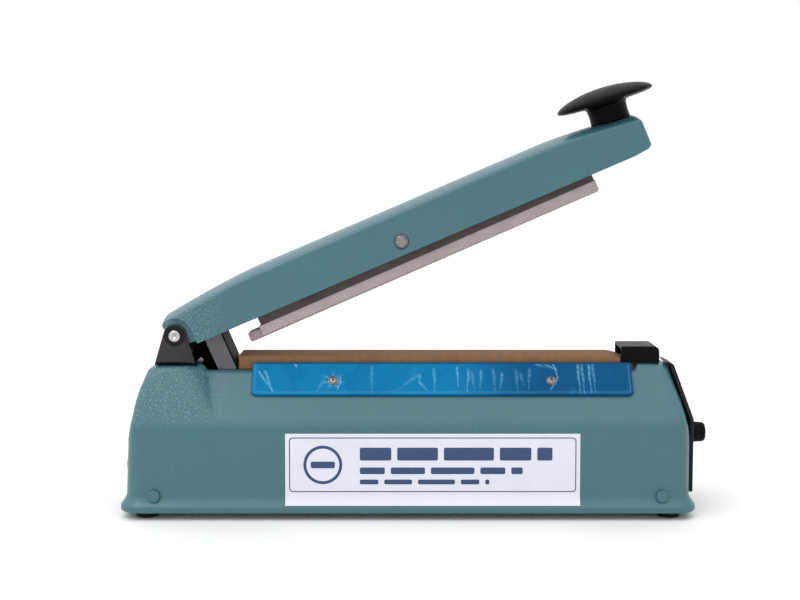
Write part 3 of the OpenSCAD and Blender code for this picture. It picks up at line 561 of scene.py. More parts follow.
def blue_film():
    """Clinging protective film: blue, darker towards the front, with painted shade along its top and rim and
    painted highlights along its creases.
    """
    p = Paint("blue_film", (0.0, 0.150, 0.330), 0.26, specular=0.07)
    x = p.node("SeparateXYZ", {"Vector": p.where}).outputs["X"]
    front = p.between(x, 0.012, 0.066, interpolation_type="SMOOTHSTEP")
    streaks = p.noise(75, 5, 0.7, where=p.stretched(1, 1, 0.35))
    patches = p.noise(40, 4, 0.6, where=p.stretched(1.6, 1, 1), distortion=0.8)
    p.recolour(p.math("MULTIPLY", front, 0.86), (0.0, 0.050, 0.140))
    p.recolour(p.ramp(patches, (0.48, 0.0), (0.72, 0.45)), (0.0, 0.085, 0.225))
    p.recolour(p.ramp(streaks, (0.60, 0.0), (0.78, 0.35)), (0.02, 0.26, 0.55))
    crease = p.node("Attribute", attribute_name="crease").outputs["Fac"]
    # Above zero the crease attribute paints highlights, along the creases and in a band near the film's
    # edges. Below zero it paints shade, along the film's top and turned-down rim.
    p.recolour(crease, (0.16, 0.42, 0.62))
    p.recolour(p.math("MULTIPLY", crease, -1.0), (0.0, 0.035, 0.10))
    p.rough(patches, 0.20, 0.36)
    p.bump(p.noise(160, 4, distortion=0.9), 0.10, 0.6)
    return p.material


def filled_sheet(name, colour, roughness, flecks, shades, grain, grain_mm, strength, specular=0.5):
    """Paper, ink or filled board: fine flecks between two shades, and a grain."""
    p = Paint(name, colour, roughness, specular=specular)
    p.tint(p.noise(*flecks), *shades)
    p.bump(p.noise(*grain), grain_mm, strength)
    return p.material


def print_ink(name, colour):
    return filled_sheet(name, colour, 0.42, (500, 3), (0.88, 1.10), (1200, 2), 0.01, 0.4)


def pressed_board(name, colour):
    return filled_sheet(name, colour, 0.5, (600, 4), (0.8, 1.15), (900, 3), 0.04, 0.6)


def red_lens():
    p = Paint("red_lens", (0.55, 0.015, 0.01), 0.14, coat=0.7, coat_roughness=0.05)
    p.set("Transmission Weight", 0.25)
    p.tint(p.noise(300, 2), 0.85, 1.1)
    p.bump(p.cells(900), 0.05, 0.35)
    return p.material


def layered(name, colour, roughness, metallic, coat, scale, distortion, direction, shades, depth_mm):
    """Wound wire or stacked sheets: fine ridges side by side."""
    p = Paint(name, colour, roughness, metallic=metallic, coat=coat)
    ridges = p.node("TexWave", {"Vector": p.where, "Scale": scale, "Distortion": distortion},
                    wave_type="BANDS", bands_direction=direction).outputs["Fac"]
    p.tint(ridges, *shades)
    p.bump(ridges, depth_mm, 0.8)
    return p.material


PAINT = hammertone()
DARK_STEEL = metal("dark_nickel", (0.050, 0.042, 0.043), 0.30, marks=0.5, spread=0.1)
BRIGHT_STEEL = metal("bright_steel", (0.50, 0.49, 0.48), 0.20, marks=0.35)
SHEET_STEEL = metal("sheet_steel", (0.50, 0.50, 0.49), 0.36, grain=(0.1, 1, 1), marks=0.2)
STRIKER_STEEL = metal("striker_steel", (0.12, 0.12, 0.128), 0.42, grain=(1, 1, 0.15), spread=0.1, marks=0.25)
CARRIER_STEEL = metal("carrier_steel", (0.075, 0.064, 0.058), 0.46, grain=(0.06, 1, 1), spread=0.1, marks=0.4)
ALUMINIUM = metal("bar_aluminium", (0.37, 0.33, 0.325), 0.38, grain=(0.05, 1, 1), spread=0.1, marks=0.12)
BRASS = metal("brass", (0.62, 0.43, 0.16), 0.26)
NICHROME = metal("nichrome", (0.33, 0.30, 0.28), 0.34, grain=(0.05, 1, 1), marks=0.3)
BLACK_PLASTIC = plastic("black_plastic", (0.002, 0.002, 0.003), 0.36, specular=0.07)
KNOB_PLASTIC = plastic("knob_plastic", (0.003, 0.0025, 0.002), 0.40, 500, 0.02, specular=0.05)
PANEL_PLASTIC = plastic("panel_black", (0.004, 0.004, 0.005), 0.44, 1100, 0.06, specular=0.18)
BLACK_RUBBER = plastic("black_rubber", (0.007, 0.007, 0.007), 0.66, 900, 0.06, specular=0.2)
COVER_RUBBER = plastic("cover_rubber", (0.003, 0.003, 0.004), 0.5, 420, 0.25, specular=0.03)
# Darker than the bright steel: painted shade that dims the screw heads' reflections.
SCREW_STEEL = metal("screw_steel", (0.27, 0.25, 0.24), 0.24, marks=0.6, spread=0.1)
SPRING_STEEL = metal("spring_steel", (0.20, 0.19, 0.185), 0.30, spread=0.1, marks=0.3)
SILICONE = plastic("silicone", (0.33, 0.285, 0.275), 0.5, 700, 0.05, subsurface=0.15)
PHENOLIC = pressed_board("phenolic", (0.17, 0.07, 0.03))
BOARD = pressed_board("circuit_board", (0.02, 0.12, 0.04))
RED_PLASTIC = plastic("red_plastic", (0.5, 0.04, 0.02), 0.4)
CLOTH = glass_cloth()
FILM = blue_film()
LABEL = filled_sheet("label_white", (0.62, 0.63, 0.70), 0.40, (60, 3), (0.97, 1.02), (700, 2), 0.015, 0.5,
                     specular=0.35)
NAVY = print_ink("navy_ink", (0.016, 0.045, 0.125))
WHITE_INK = print_ink("white_ink", (0.72, 0.72, 0.70))
LENS = red_lens()
WINDING = layered("copper_winding", (0.52, 0.20, 0.06), 0.3, 0.8, 0.4, 420.0, 0.5, "Z", (0.55, 1.1), 0.2)
CORE = layered("core_laminations", (0.10, 0.09, 0.085), 0.45, 0.7, 0.0, 500.0, 0.2, "Y", (0.6, 1.15), 0.08)


def dress(obj, material, body):
    """Gives a new piece its material and slot, and sets it riding on its body."""
    obj.data.materials.clear()
    obj.data.materials.append(material)
    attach(obj, body)
    return obj


def keep(node, material, edge=0.0):
    """Keeps a CAD node, with a procedural material and its edges broken by edge mm."""
    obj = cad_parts[node]
    obj.data.materials.clear()
    obj.data.materials.append(material)
    weld = obj.modifiers.new("weld", "WELD")
    weld.merge_threshold = 2e-6
    if edge:
        bevel = obj.modifiers.new("bevel", "BEVEL")
        bevel.width, bevel.segments, bevel.limit_method = edge * MM, 3, "ANGLE"
        bevel.angle_limit = radians(32)
        bevel.use_clamp_overlap = True
    normals = obj.modifiers.new("normals", "WEIGHTED_NORMAL")
    normals.keep_sharp = False
    return obj


# ---- casting


def skirt_flare(z):
    """How far the skirt stands out past the walls: a concave sweep that ends in a short upright lip."""
    blend, tuck, tuck_h = 0.6, 0.6, 0.7
    sweep = LIP * (np.clip(FLARE_Z - z, 0, None) / (FLARE_Z - LIP_Z)) ** 2.2
    flat = 0.5 * (sweep + LIP - np.sqrt((sweep - LIP) ** 2 + blend ** 2))
    return flat - tuck * np.clip((FOOT_H + tuck_h - z) / tuck_h, 0, 1) ** 2


def casting_field(p):
    """Distance out of the casting: the body with its level decks, and the pedestal behind them."""
    crease_r, turn_r = 2.4, 8.5
    x, y, z = p.T
    side = np.abs(y)
    flare = skirt_flare(z)
    rise = np.clip(z - FLARE_Z, 0, None)
    wall = side - WALL_HW + WALL_LEAN * rise - flare
    slope = plane(CREASE_HW, CREASE_Z, DECK_Z - CREASE_Z, CREASE_HW - DECK_HW, side, z)
    deck = round_or(z - DECK_Z, round_and(z - END_DECK_Z, 126 - x, 1.0), 0.8)
    corner = turn_r + flare * 0.8

    # Each end is its upright wall, then a leaning face, then a chamfer up to the deck
    front = round_and(x - WALL_HL - flare, plane(153.4, 53.3, 26.2, 8.1, x, z), 4)
    front = round_and(front, plane(145.3, 79.5, 1.9, 1.8, x, z), 1)
    back_wall = -x - WALL_HL + 0.0375 * rise - flare
    back = round_and(back_wall, plane(152.2, 52, 25.1, 9.7, -x, z), 5)
    back = round_and(back, plane(142.5, 77.1, 1, 4, -x, z), 2)
    main = round_and(round_and(wall, slope, crease_r), front, corner)
    main = round_and(round_and(main, back, corner), deck, 1.3)

    # The pedestal's sides are steeper, its corners get sharper with height, and its front is slanted off
    flank = round_and(wall, plane(CREASE_HW, CREASE_Z, 29.4, 11, side, z), crease_r)
    rear = round_and(back_wall, plane(152.2, 52, 25, 8.2, -x, z), 5)
    rear = round_and(rear, plane(144, 77, 3.1, 1.7, -x, z), 2)
    rear = round_and(rear, plane(142.3, 80.1, 1.3, 3.8, -x, z), 1.2)
    turn = turn_r - 3.5 * np.clip((z - 48) / 16, 0, 1)
    pedestal = round_and(round_and(flank, rear, turn), z - END_DECK_Z, 1.4)
    face = plane(-112, END_DECK_Z, 29.4, 7.4, x, z)
    slant = 0.572 * x + 0.603 * side + 0.556 * z + 9.82
    pedestal = round_and(pedestal, round_and(face, slant, 1.2), 2.6)
    pedestal = np.maximum(pedestal, CREASE_Z - 10 - z)
    return round_or(main, pedestal, 1.6)


def boss(sx, sy):
    """Cast pad on the skirt, standing out as a plain disc with a soft rim."""
    r, high, soft = 3.3, 2.1, 0.5
    rim = [(r - soft + soft * cos(a), high + soft * sin(a)) for a in (0.5, 1.0, 1.5)]
    bm = lathe([(0, 0), (r, 0), (r, high), *rim, (r - 0.9, 2.55), (0, 2.5)], 40)
    place = move((sx * 137.4, sy * (WALL_HW - 0.2), 13))
    bm.transform(place @ turned(-sy * pi / 2, "X"))
    return bm


def make_casting():
    """The painted casting: a shell open below, with the striker's well and the holes of its rear end."""
    wall_t, core_x, core_z = 3, (-112, 112), 40
    xs = steps((-165, 2.2), (-146, 0.9), (-98, 2.6), (112, 1.6), 165)
    ys = steps((-48, 1.6), 48)
    zs = steps((FOOT_H, 0.55), (15, 5), (44, 1.0), 96)
    obj = mesh_object("casting", surface_of(casting_field, xs, ys, zs, core_x, core_z))
    inner = surface_of(lambda p: casting_field(p) + wall_t, steps((-165, 4), 165), steps((-48, 4), 48),
                       [3.0, 5.0, 8.0] + steps((12, 6), (44, 3), 96), core_x, core_z)
    well = block((-114.8, -12.7, DECK_Z - 12), (-93.4, 12.7, DECK_Z + 9), 1.2)
    inlet = rod((-165, 14, 24), (-140, 14, 24), 7.02)
    fuse = rod((-165, -6, 24), (-140, -6, 24), 6.03)
    carve(obj, inner, well, inlet, fuse)
    bm = bmesh.new()
    bm.from_mesh(obj.data)
    whole = join_meshes(bm, *[boss(sx, sy) for sx in (-1, 1) for sy in (-1, 1)])
    shade(whole, 35)
    whole.to_mesh(obj.data)
    whole.free()
    obj.data.transform(BASE)
    dress(obj, PAINT, "root")
    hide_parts("body_casting")


# ---- arm

ARM_L, ARM_HW, ARM_EDGE, CROWN = 279.6, 19.0, -8.7, 3.4


def arm_top(u):
    """Height of the arm's crown: level along the middle, falling away to both ends."""
    rear = 4.9 * (np.clip(55 - u, 0, None) / 55) ** 1.5
    front = 5.2 * (np.clip(u - 225, 0, None) / (ARM_L - 225)) ** 1.5
    return 17 - rear - front


def arm_field(p):
    """Distance out of the arm: straight sides, a crown that falls off to them, and a blunt rear nose."""
    u, y, v = p.T
    side = np.abs(y)
    crown = 0.96 * (v - arm_top(np.clip(u, -4, ARM_L)) + CROWN * (np.clip(side, 0, 24) / ARM_HW) ** 2.3)
    body = round_and(side - ARM_HW, crown, 1.3)
    body = round_and(body, u - ARM_L, 3.2)
    rear = round_and(plane(-5.2, 7.5, -13, -5.2, u, v), plane(-5.2, 8.2, -4.2, 1.6, u, v), 1.5)
    return round_and(body, rear, 2.5)


def arm_rim(u):
    """Height of the arm's lower rim."""
    return np.interp(u, [-5.2, -4.6, 0, 9, 268.6, 277.0, 279.2, 279.6],
                     [5.5, 4.8, -5.5, ARM_EDGE, ARM_EDGE, -7.8, -6.3, -4.2])


def make_arm():
    """The arm's hollow beam, cut away for the bracket's ears, the pin, the cross screw and the knob."""
    core_v, roof_t, wall_t = 2, 6.2, 2.8
    us = steps((-22, 1.2), (30, 3.2), (235, 1.6), 296)
    ys = steps((-27, 1.5), 27)
    vs = steps((ARM_EDGE, 1.8), (core_v, 1.2), 34)
    bm = surface_of(arm_field, us, ys, vs, (9, 266), core_v)
    for vert in bm.verts:
        if vert.co.z < core_v:
            lift = (core_v - arm_rim(vert.co.x)) / (core_v - ARM_EDGE)
            vert.co.z = core_v - (core_v - vert.co.z) * lift
    obj = mesh_object("arm_beam", bm)
    rear_roof = arm_top(12.5) - roof_t
    hollow = [(ARM_L - 5, -20), (12.5, -20), (12.5, rear_roof), (23.9, rear_roof)]
    hollow += [(u, float(arm_top(u)) - roof_t) for u in (27, 40, 55, 225, 240, 258, ARM_L - 5)]
    cuts = [prism(hollow, wall_t - ARM_HW, ARM_HW - wall_t), block((-15, -9.9, -20), (13, 9.9, 7.4))]
    for s in (-1, 1):
        cuts.append(rod((0, s * 17.3, 0), (0, s * 27, 0), 9.3, 72))
        low, high = sorted((s * 17.3, s * 27))
        cuts.append(block((-20, low, -20), (9.6, high, 0.2)))
    cuts.append(rod((0, -30, 0), (0, 30, 0), 3.3))
    cuts.append(rod((ROCK[0], -30, ROCK[1]), (ROCK[0], 30, ROCK[1]), 2.55))
    cuts.append(rod((ROCK[0], -30, ROCK[1]), (ROCK[0], -ARM_HW + 0.9, ROCK[1]), 4.3))
    seat = rod((0, 0, 0), (0, 0, 12), 11.7, 72)
    seat.transform(ARM.inverted() @ KNOB)
    cuts.append(seat)
    carve(obj, *cuts)
    obj.data.transform(ARM)
    dress(obj, PAINT, "arm")
    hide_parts("press_arm")


def make_knob():
    """Mushroom knob: a low dome with a rolled rim, a flat underside and a waisted stem."""
    r, rim, rise = 26.8, 13.1, 7.0
    dome = [(r * sin(t), rim + rise * (0.7 * cos(t) + 0.3 * (1 - sin(t) ** 2)))
            for t in np.linspace(pi / 2 - 0.05, 0.0, 26)]
    stem = [(0, 0), (10.6, 0), (11.2, 0.5), (10.9, 2.5), (10.75, 5), (10.85, 7.4), (11.0, 9.4), (11.7, 10.4)]
    under = [(13.5, 10.8), (20, 11.1), (23.5, 11.5), (25.6, 11.95), (26.5, 12.4), (26.8, 12.9)]
    dome[-1] = (0, dome[-1][1])
    obj = mesh_object("grip_knob", lathe(stem + under + dome, 112), KNOB, 60)
    dress(obj, KNOB_PLASTIC, "arm")
    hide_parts("handle_knob")


# ---- jaw


def make_cloth():
    """The glass cloth drawn tight over the jaw: rounded over its edges, with ripples and a fold line."""
    half, low, gap, round_r = 12.35, 78.25, 0.75, 1.3
    neck_x, tongue_hw, join_hw = 117.8, 9.4, 9.9
    xs = steps((-93.5, 1.0), (JAW_BEND, 0.6), 124.2)

    def top_line(x):
        if x < JAW_BEND:
            return JAW_TOP + gap
        turn = min(asin(min(1, (x - JAW_BEND) / (BEND_R + gap))), BEND_A)
        past = max(0, x - JAW_BEND - (BEND_R + gap) * sin(BEND_A))
        return JAW_TOP - BEND_R + (BEND_R + gap) * cos(turn) - past * tan(BEND_A)

    bm = bmesh.new()
    rows = []
    for x in xs:
        top = top_line(x)
        slack = 0.10 * sin(x / 9.0) + 0.07 * sin(x / 3.7 + 1)
        slack += 0.12 * exp(-((x - 8) / 0.7) ** 2)
        edge = [(-half, low + (top - round_r - low) * k / 5) for k in range(5)]
        edge += arc(-half + round_r, top - round_r, round_r, 180, 90, 6)
        edge += [(-half + round_r + (half - round_r) * k / 8, top) for k in range(1, 9)]
        if x > neck_x:
            edge = [(-tongue_hw + tongue_hw * k / 19, top) for k in range(len(edge))]
        shape = edge + [(-y, z) for y, z in reversed(edge[:-1])]
        ripple = [slack * 0.5 * cos(y / 5) for y, z in shape]
        rows.append([bm.verts.new((x, y * (1 + r * 0.006), z + min(0, r) * 0.5))
                     for (y, z), r in zip(shape, ripple)])
    grid_faces(bm, rows)
    # Where the cloth narrows, its side flaps end and only its middle goes on
    for row, after, x in zip(rows, rows[1:], xs):
        if x <= neck_x < after[0].co.x:
            strip = {f for v in row for f in v.link_faces if all(w in row or w in after for w in f.verts)}
            bmesh.ops.delete(bm, geom=list(strip), context="FACES_ONLY")
            centre = len(row) // 2
            inner = [v for v in row if abs(v.co.y) <= join_hw]
            ahead = [after[round(centre + v.co.y / join_hw * centre)] for v in inner]
            for k in range(len(inner) - 1):
                bm.faces.new(list(dict.fromkeys((inner[k], inner[k + 1], ahead[k + 1], ahead[k]))))
    obj = mesh_object("jaw_cloth", bm)
    thicken(obj, 0.3)
    obj.data.transform(BASE)
    dress(obj, CLOTH, "root")
    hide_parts("ptfe_cloth")


def film_creases():
    """Crease lines in the film as (x, s) ends, with how strong each one is."""
    lines = [
        ((-81.9, 1.7), (-73.7, 13.9), 1.0), ((-78.6, 1.1), (-73.7, 13.9), 0.8),
        ((-62.3, -3.5), (-61.2, -0.6), 0.9), ((-36.8, 5.2), (-38.4, 12.8), 1.0),
        ((-46.0, 7.0), (-49.8, 13.9), 0.3), ((5.6, 3.5), (-5.2, 12.8), 0.3), ((6.7, 3.6), (6.2, 8.3), 0.6),
        ((6.2, 8.3), (10.5, 13.2), 0.6), ((74.7, -3.5), (82.3, 1.1), 0.7), ((80.1, -3.6), (82.3, 5.2), 0.9),
        ((82.3, 5.2), (77.9, 12.8), 0.8), ((70.6, -3.2), (76.5, -1.0), 0.5),
    ]
    # Short ones run out from the rear screw
    x, s = STRIP_SCREW_X[0], STRIP_SCREW_S
    for turn in range(7):
        a = radians(turn * 51 + 12)
        start = (x + 3.2 * cos(a), s + 3.2 * sin(a))
        lines.append((start, (x + (7 + turn % 3) * cos(a), s + 5.5 * sin(a)), 0.35))
    # Upright ones, as x, the ends of s, how far they lean and how strong they are
    for x, low, high, lean, force in (
        (-19.9, -2, 15, 0.4, 0.3), (14.3, 0, 14, 0.4, 0.5), (27.1, -1, 10.5, 0.4, 0.75),
        (93.7, -3, 15, 0.4, 0.65), (95.9, -3, 15, 0.4, 0.45), (99.7, -4, 15, 0.4, 0.75),
        (101.9, -3, 15, 0.4, 0.4), (33.4, 0.4, 14, -1.1, 0.6), (35.0, 2.0, 13, 1.6, 0.3),
        (40.2, 1.0, 11.5, -0.6, 0.5), (46.9, 0.2, 14, 0.9, 0.35), (51.8, 2.6, 12, -1.3, 0.45),
        (59.5, 0.8, 14, 0.5, 0.3), (62.2, 3.0, 10, 1.2, 0.25), (67.0, 0.4, 12.5, -0.9, 0.35),
    ):
        lines.append(((x, low), (x + lean, high), force))
    return lines


def make_film(side, name, node):
    """Film stretched over a side strip and wrapped round its edges, with raised creases."""
    x0, x1, s0, s1, r, top_r, lip, face = -85.6, 123.2, -4.4, 16.0, 3.0, 0.8, 0.5, 1.78
    row_count, top_shade, rim_shade = 43, -0.75, -0.35
    xs = steps((x0 + lip, 0.25), (x0 + 4, 0.45), (x1 - 4, 0.25), x1 - lip)
    bm = bmesh.new()
    crease_layer = bm.verts.layers.float.new("crease")
    lines = [(np.array(a), np.array(b), force) for a, b, force in film_creases()]

    def crease(x, s):
        """How strongly the film is creased at a point, from 0 to 1."""
        p, total = np.array((x, s)), 0.0
        for a, b, force in lines:
            if min(a[0], b[0]) - 2 < x < max(a[0], b[0]) + 2:
                t = np.clip(np.dot(p - a, b - a) / np.dot(b - a, b - a), 0, 1)
                stray = 0.22 * sin(s * 0.45 + a[0]) * sin(pi * t)
                width = 0.22 + (0.75 - 0.6 * force) * sin(pi * min(1, 0.25 + t))
                away = np.linalg.norm(p - a - t * (b - a) + (stray, 0)) / width
                strength = force * (0.55 + 0.45 * sin(0.9 * s + a[0]) ** 2)
                total = max(total, strength * exp(-away ** 2))
        return total

    def pulled_in(radius, near_end):
        """How far a rounded corner draws the edge in, near_end from the strip's end."""
        return radius - sqrt(max(0, radius ** 2 - max(0, radius - near_end) ** 2))

    def point(x, s, h, amount):
        vert = bm.verts.new(on_slope(x, s, h, side))
        vert[crease_layer] = amount
        return vert

    columns = []
    for x in xs:
        near_end = min(x - x0, x1 - x)
        low, high = s1 - lip - pulled_in(r, near_end), s0 + lip + pulled_in(top_r, near_end)
        column = []
        for k in range(row_count):
            s = high + (low - high) * k / (row_count - 1)
            rim = min(near_end, s1 - s)
            # The amount is painted as a highlight along the creases and in a band 1.7 mm in from the ends and
            # lower edge, and the top rows get the painted shade line. It also lifts the creases and that
            # band.
            amount = crease(x, s) + 0.22 * exp(-((rim - 1.7) / 0.3) ** 2)
            if s < s0 + 1.1:
                amount = top_shade
            wave = 0.05 * sin(x / 6.1 + s / 3) + 0.04 * sin(x / 2.3 - s / 2.1)
            fade = min(1, near_end / 3, (s - s0) / 2, (s1 - s) / 2)
            column.append((x, s, face + max(0, fade) * (0.22 * max(0, amount) + wave), amount))
        columns.append([point(*c) for c in column])
    grid_faces(bm, columns)
    border = [col[0] for col in columns] + columns[-1][1:-1] + [col[-1] for col in reversed(columns)]
    border += list(reversed(columns[0][1:-1]))

    centre_x = [min(max(v.co.x, x0 + r), x1 - r) for v in border]
    inverse = slope_frame(0, 0, 0, side).inverted()
    flat = [inverse @ v.co for v in border]
    middle_y = sum(p.y for p in flat) / len(flat)
    # Rings that turn down round the strip's edge, then one at its foot
    rings = [border]
    for turn in (30, 60, 90, None):
        ring = []
        for k, v in enumerate(border):
            before, after = flat[k - 1], flat[(k + 1) % len(flat)]
            along = (after - before).to_2d().normalized()
            out = Vector((along.y, -along.x))
            if out.dot(flat[k].to_2d() - Vector((centre_x[k], middle_y))) < 0:
                out = -out
            a = radians(turn or 90)
            h = 0.12 if turn is None else face - lip + lip * cos(a)
            at = Vector((flat[k].x + out.x * lip * sin(a), flat[k].y + out.y * lip * sin(a), h))
            new = bm.verts.new(slope_frame(0, 0, 0, side) @ at)
            new[crease_layer] = rim_shade
            ring.append(new)
        rings.append(ring)
    grid_faces(bm, rings, close_columns=True)
    obj = mesh_object(name, bm, sharp=60)
    if side > 0:
        obj.data.flip_normals()
    thicken(obj, 0.16)
    holes = []
    for x in STRIP_SCREW_X:
        hole = lathe([(0, 0), (2.75, 0), (2.75, 6), (0, 6)], 40)
        hole.transform(slope_frame(x, STRIP_SCREW_S, -1, side))
        holes.append(hole)
    carve(obj, *holes)
    obj.data.transform(BASE)
    dress(obj, FILM, "root")
    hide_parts(node)


def make_strip_screws():
    places = [slope_frame(x, STRIP_SCREW_S, STRIP_T, side) for x in STRIP_SCREW_X for side in (-1, 1)]
    bm = placed(screw(2.4, 1.5, 1.2, 6), *places)
    washers = placed(lathe([(1.3, 0.02), (2.7, 0.02), (2.7, 0.3), (1.3, 0.3), (1.3, 0.02)], 40), *places)
    obj = mesh_object("side_screws", join_meshes(bm, washers), BASE)
    dress(obj, SCREW_STEEL, "root")
    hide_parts("strip_screws")


# ---- label


def make_label_print():
    """The label's print: a frame line, a ring with a bar across it and rows of plain bars."""
    label_t, ink_t = 0.26, 0.07
    bm = bmesh.new()

    def surface(x, z, lift):
        """A point that stands lift above the label's face."""
        return (x, -(WALL_HW - WALL_LEAN * (z - FLARE_Z)) - label_t - lift, z)

    def patch(outer, inner=None):
        rows = []
        for lift, ring in ((0.0, outer), (ink_t, outer)) + (((ink_t, inner), (0.0, inner)) if inner else ()):
            rows.append([bm.verts.new(surface(x, z, lift)) for x, z in ring])
        grid_faces(bm, rows, close_rows=bool(inner), close_columns=True)
        if not inner:
            bm.faces.new(rows[0])
            bm.faces.new(rows[1])

    def bar(x0, z0, x1, z1, r=0.9):
        corners = ((x1 - r, z1 - r, 0), (x0 + r, z1 - r, 90), (x0 + r, z0 + r, 180), (x1 - r, z0 + r, 270))
        return [q for x, z, a in corners for q in arc(x, z, r, a, a + 90, 4)]

    patch(bar(-64.2, 15.2, 90.9, 44.9, 2.0), bar(-63.7, 15.7, 90.4, 44.4, 1.6))
    patch(arc(-46, 30, 10.5, 0, 350, 35), arc(-46, 30, 8.9, 0, 350, 35))
    patch(bar(-52.5, 28.2, -39.5, 31.8))
    for row, (z0, z1, ends) in enumerate(((32.4, 39.4, 78), (25.0, 28.6, 62), (19.4, 22.0, 44))):
        x = -26.0
        width = 0
        while x < ends:
            step = 17 - 3.5 * row + 5 * (width % 3)
            patch(bar(x, z0, min(x + step, ends), z1, min(0.9, (z1 - z0) * 0.3)))
            x += step + 3.2
            width += 1
    obj = mesh_object("label_print", bm, BASE)
    dress(obj, NAVY, "root")


# ---- timer and panel


def make_timer_knob():
    """Round knob with a skirt, twenty flutes and a white pointer let into its face."""
    flutes = 20
    segments = flutes * 8
    bm = bmesh.new()
    rows = []
    for h, r in ((0.0, 6.45), (0.35, 6.6), (1.8, 6.6), (2.3, 6.1), (2.6, 5.9), (9.6, 5.45), (10.4, 5.15),
                 (10.9, 4.6)):
        depth = 0.34 if 2.5 < h < 10 else 0.0
        turn = [2 * pi * k / segments for k in range(segments)]
        radius = [r - depth * (0.5 + 0.5 * cos(flutes * a)) ** 1.6 for a in turn]
        rows.append([bm.verts.new((q * cos(a), q * sin(a), h)) for q, a in zip(radius, turn)])
    grid_faces(bm, rows, close_columns=True)
    bm.faces.new(rows[0])
    face = bm.faces.new(rows[-1])
    bmesh.ops.inset_region(bm, faces=[face], thickness=1.0, depth=0.12)
    place = BASE @ move((156.9, 0, TIMER_Z)) @ turned(pi / 2, "Y")
    knob = mesh_object("dial_knob", bm, place, 50)
    dress(knob, BLACK_PLASTIC, "timer")
    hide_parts("timer_knob")
    pointer = block((-4.6, -0.35, 10.6), (-0.6, 0.35, 11.08), 0.1)
    line = mesh_object("dial_pointer", pointer, place)
    dress(line, WHITE_INK, "timer")


def make_dial():
    """Ticks and numbers printed round the timer's shaft on the panel."""
    turn, tick_count, digit_count, tick_r, digit_r = 270, 22, 8, 7.4, 10.4
    ticks = []
    for k in range(tick_count):
        a = radians(turn / 2 - turn * k / (tick_count - 1))
        long = 1.5 if k % 3 == 0 else 0.8
        tick = block((-0.05, -0.16, 0), (0.05, 0.16, long), 0.02, 1)
        tick.transform(move((PANEL_X - 0.04, 0, TIMER_Z)) @ turned(a, "X")
                       @ move((0, 0, tick_r)))
        ticks.append(tick)
    obj = mesh_object("dial_ticks", join_meshes(*ticks), BASE)
    dress(obj, WHITE_INK, "root")
    digits = []
    for k in range(digit_count):
        a = radians(turn / 2 - turn * k / (digit_count - 1))
        text = bpy.data.curves.new("digit", "FONT")
        text.body, text.size, text.extrude, text.resolution_u = str(k + 1), 2.6, 0.05, 3
        text.align_x, text.align_y = "CENTER", "CENTER"
        holder = bpy.data.objects.new("digit", text)
        bpy.context.scene.collection.objects.link(holder)
        bpy.context.view_layer.update()
        mesh = bpy.data.meshes.new_from_object(holder.evaluated_get(bpy.context.evaluated_depsgraph_get()))
        bm = bmesh.new()
        bm.from_mesh(mesh)
        bpy.data.objects.remove(holder)
        bpy.data.curves.remove(text)
        bpy.data.meshes.remove(mesh)
        facing = Matrix(((0, 0, 1), (1, 0, 0), (0, 1, 0))).to_4x4()
        at = (PANEL_X - 0.03, -digit_r * sin(a), TIMER_Z + digit_r * cos(a))
        bm.transform(move(at) @ facing)
        digits.append(bm)
    obj = mesh_object("dial_numbers", join_meshes(*digits), BASE)
    dress(obj, WHITE_INK, "root")


# ---- hinge


def make_springs():
    """Two wound springs on the pin: short legs on the bracket, long ones joined by a cross wire."""
    mean, wire_r, top, first_y, last_y = 5.4, 0.8, radians(285), 8.4, 4.5
    coils = []
    for side in (-1, 1):
        points = [(-mean, side * first_y, z) for z in (-13.2, -9, -4)]
        turns = 2 * pi * 2 + top - pi
        for k in range(73):
            a = pi + turns * k / 72
            y = side * (first_y - (first_y - last_y) * k / 72)
            points.append((mean * cos(a), y, mean * sin(a)))
        coils.append(tube_along(points, wire_r))
    at_pin = BASE @ move((PIVOT.x / MM - SHELL_X, 0, PIVOT.z / MM))
    obj = mesh_object("spring_coils", join_meshes(*coils), at_pin, 60)
    dress(obj, SPRING_STEEL, "root")
    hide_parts("return_spring")
    tilt = radians(15)
    start = (mean * cos(top), mean * sin(top))
    near = [(start[0] + d * cos(tilt), -y, start[1] + d * sin(tilt))
            for d, y in ((0.2, last_y), (6, last_y), (12, last_y), (16.4, last_y), (17.2, 4.1), (17.6, 3.3))]
    wire = tube_along(near + [(x, -y, z) for x, y, z in reversed(near)], wire_r)
    legs = mesh_object("spring_legs", wire, at_pin, 60)
    dress(legs, SPRING_STEEL, "arm")


def make_pin():
    """Hinge pin with chamfered ends and the dimple of the lathe's centre in each."""
    end, r = 21.5, 3.2
    half = [(0, end - 1.3), (0.8, end - 0.9), (1.5, end - 0.1), (1.8, end), (r - 0.7, end - 0.05),
            (r - 0.15, end - 0.45), (r, end - 1.1)]
    profile = [(q, -h) for q, h in half] + [(q, h) for q, h in reversed(half)]
    at_pin = BASE @ move((PIVOT.x / MM - SHELL_X, 0, PIVOT.z / MM))
    place = at_pin @ turned(pi / 2, "X")
    obj = mesh_object("pivot_pin", lathe(profile, 64), place)
    dress(obj, BRIGHT_STEEL, "root")
    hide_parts("hinge_pin")


def make_arm_screw():
    """Cross screw that the press bar rocks on, its head sunk in the arm's side."""
    place = ARM @ move((ROCK[0], 0.9 - ARM_HW, ROCK[1])) @ turned(pi / 2, "X")
    obj = mesh_object("rock_screw", screw(3.65, 1.9, 2.5, ARM_HW * 2 + 3.4), place)
    dress(obj, SCREW_STEEL, "arm")
    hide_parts("pivot_screw")


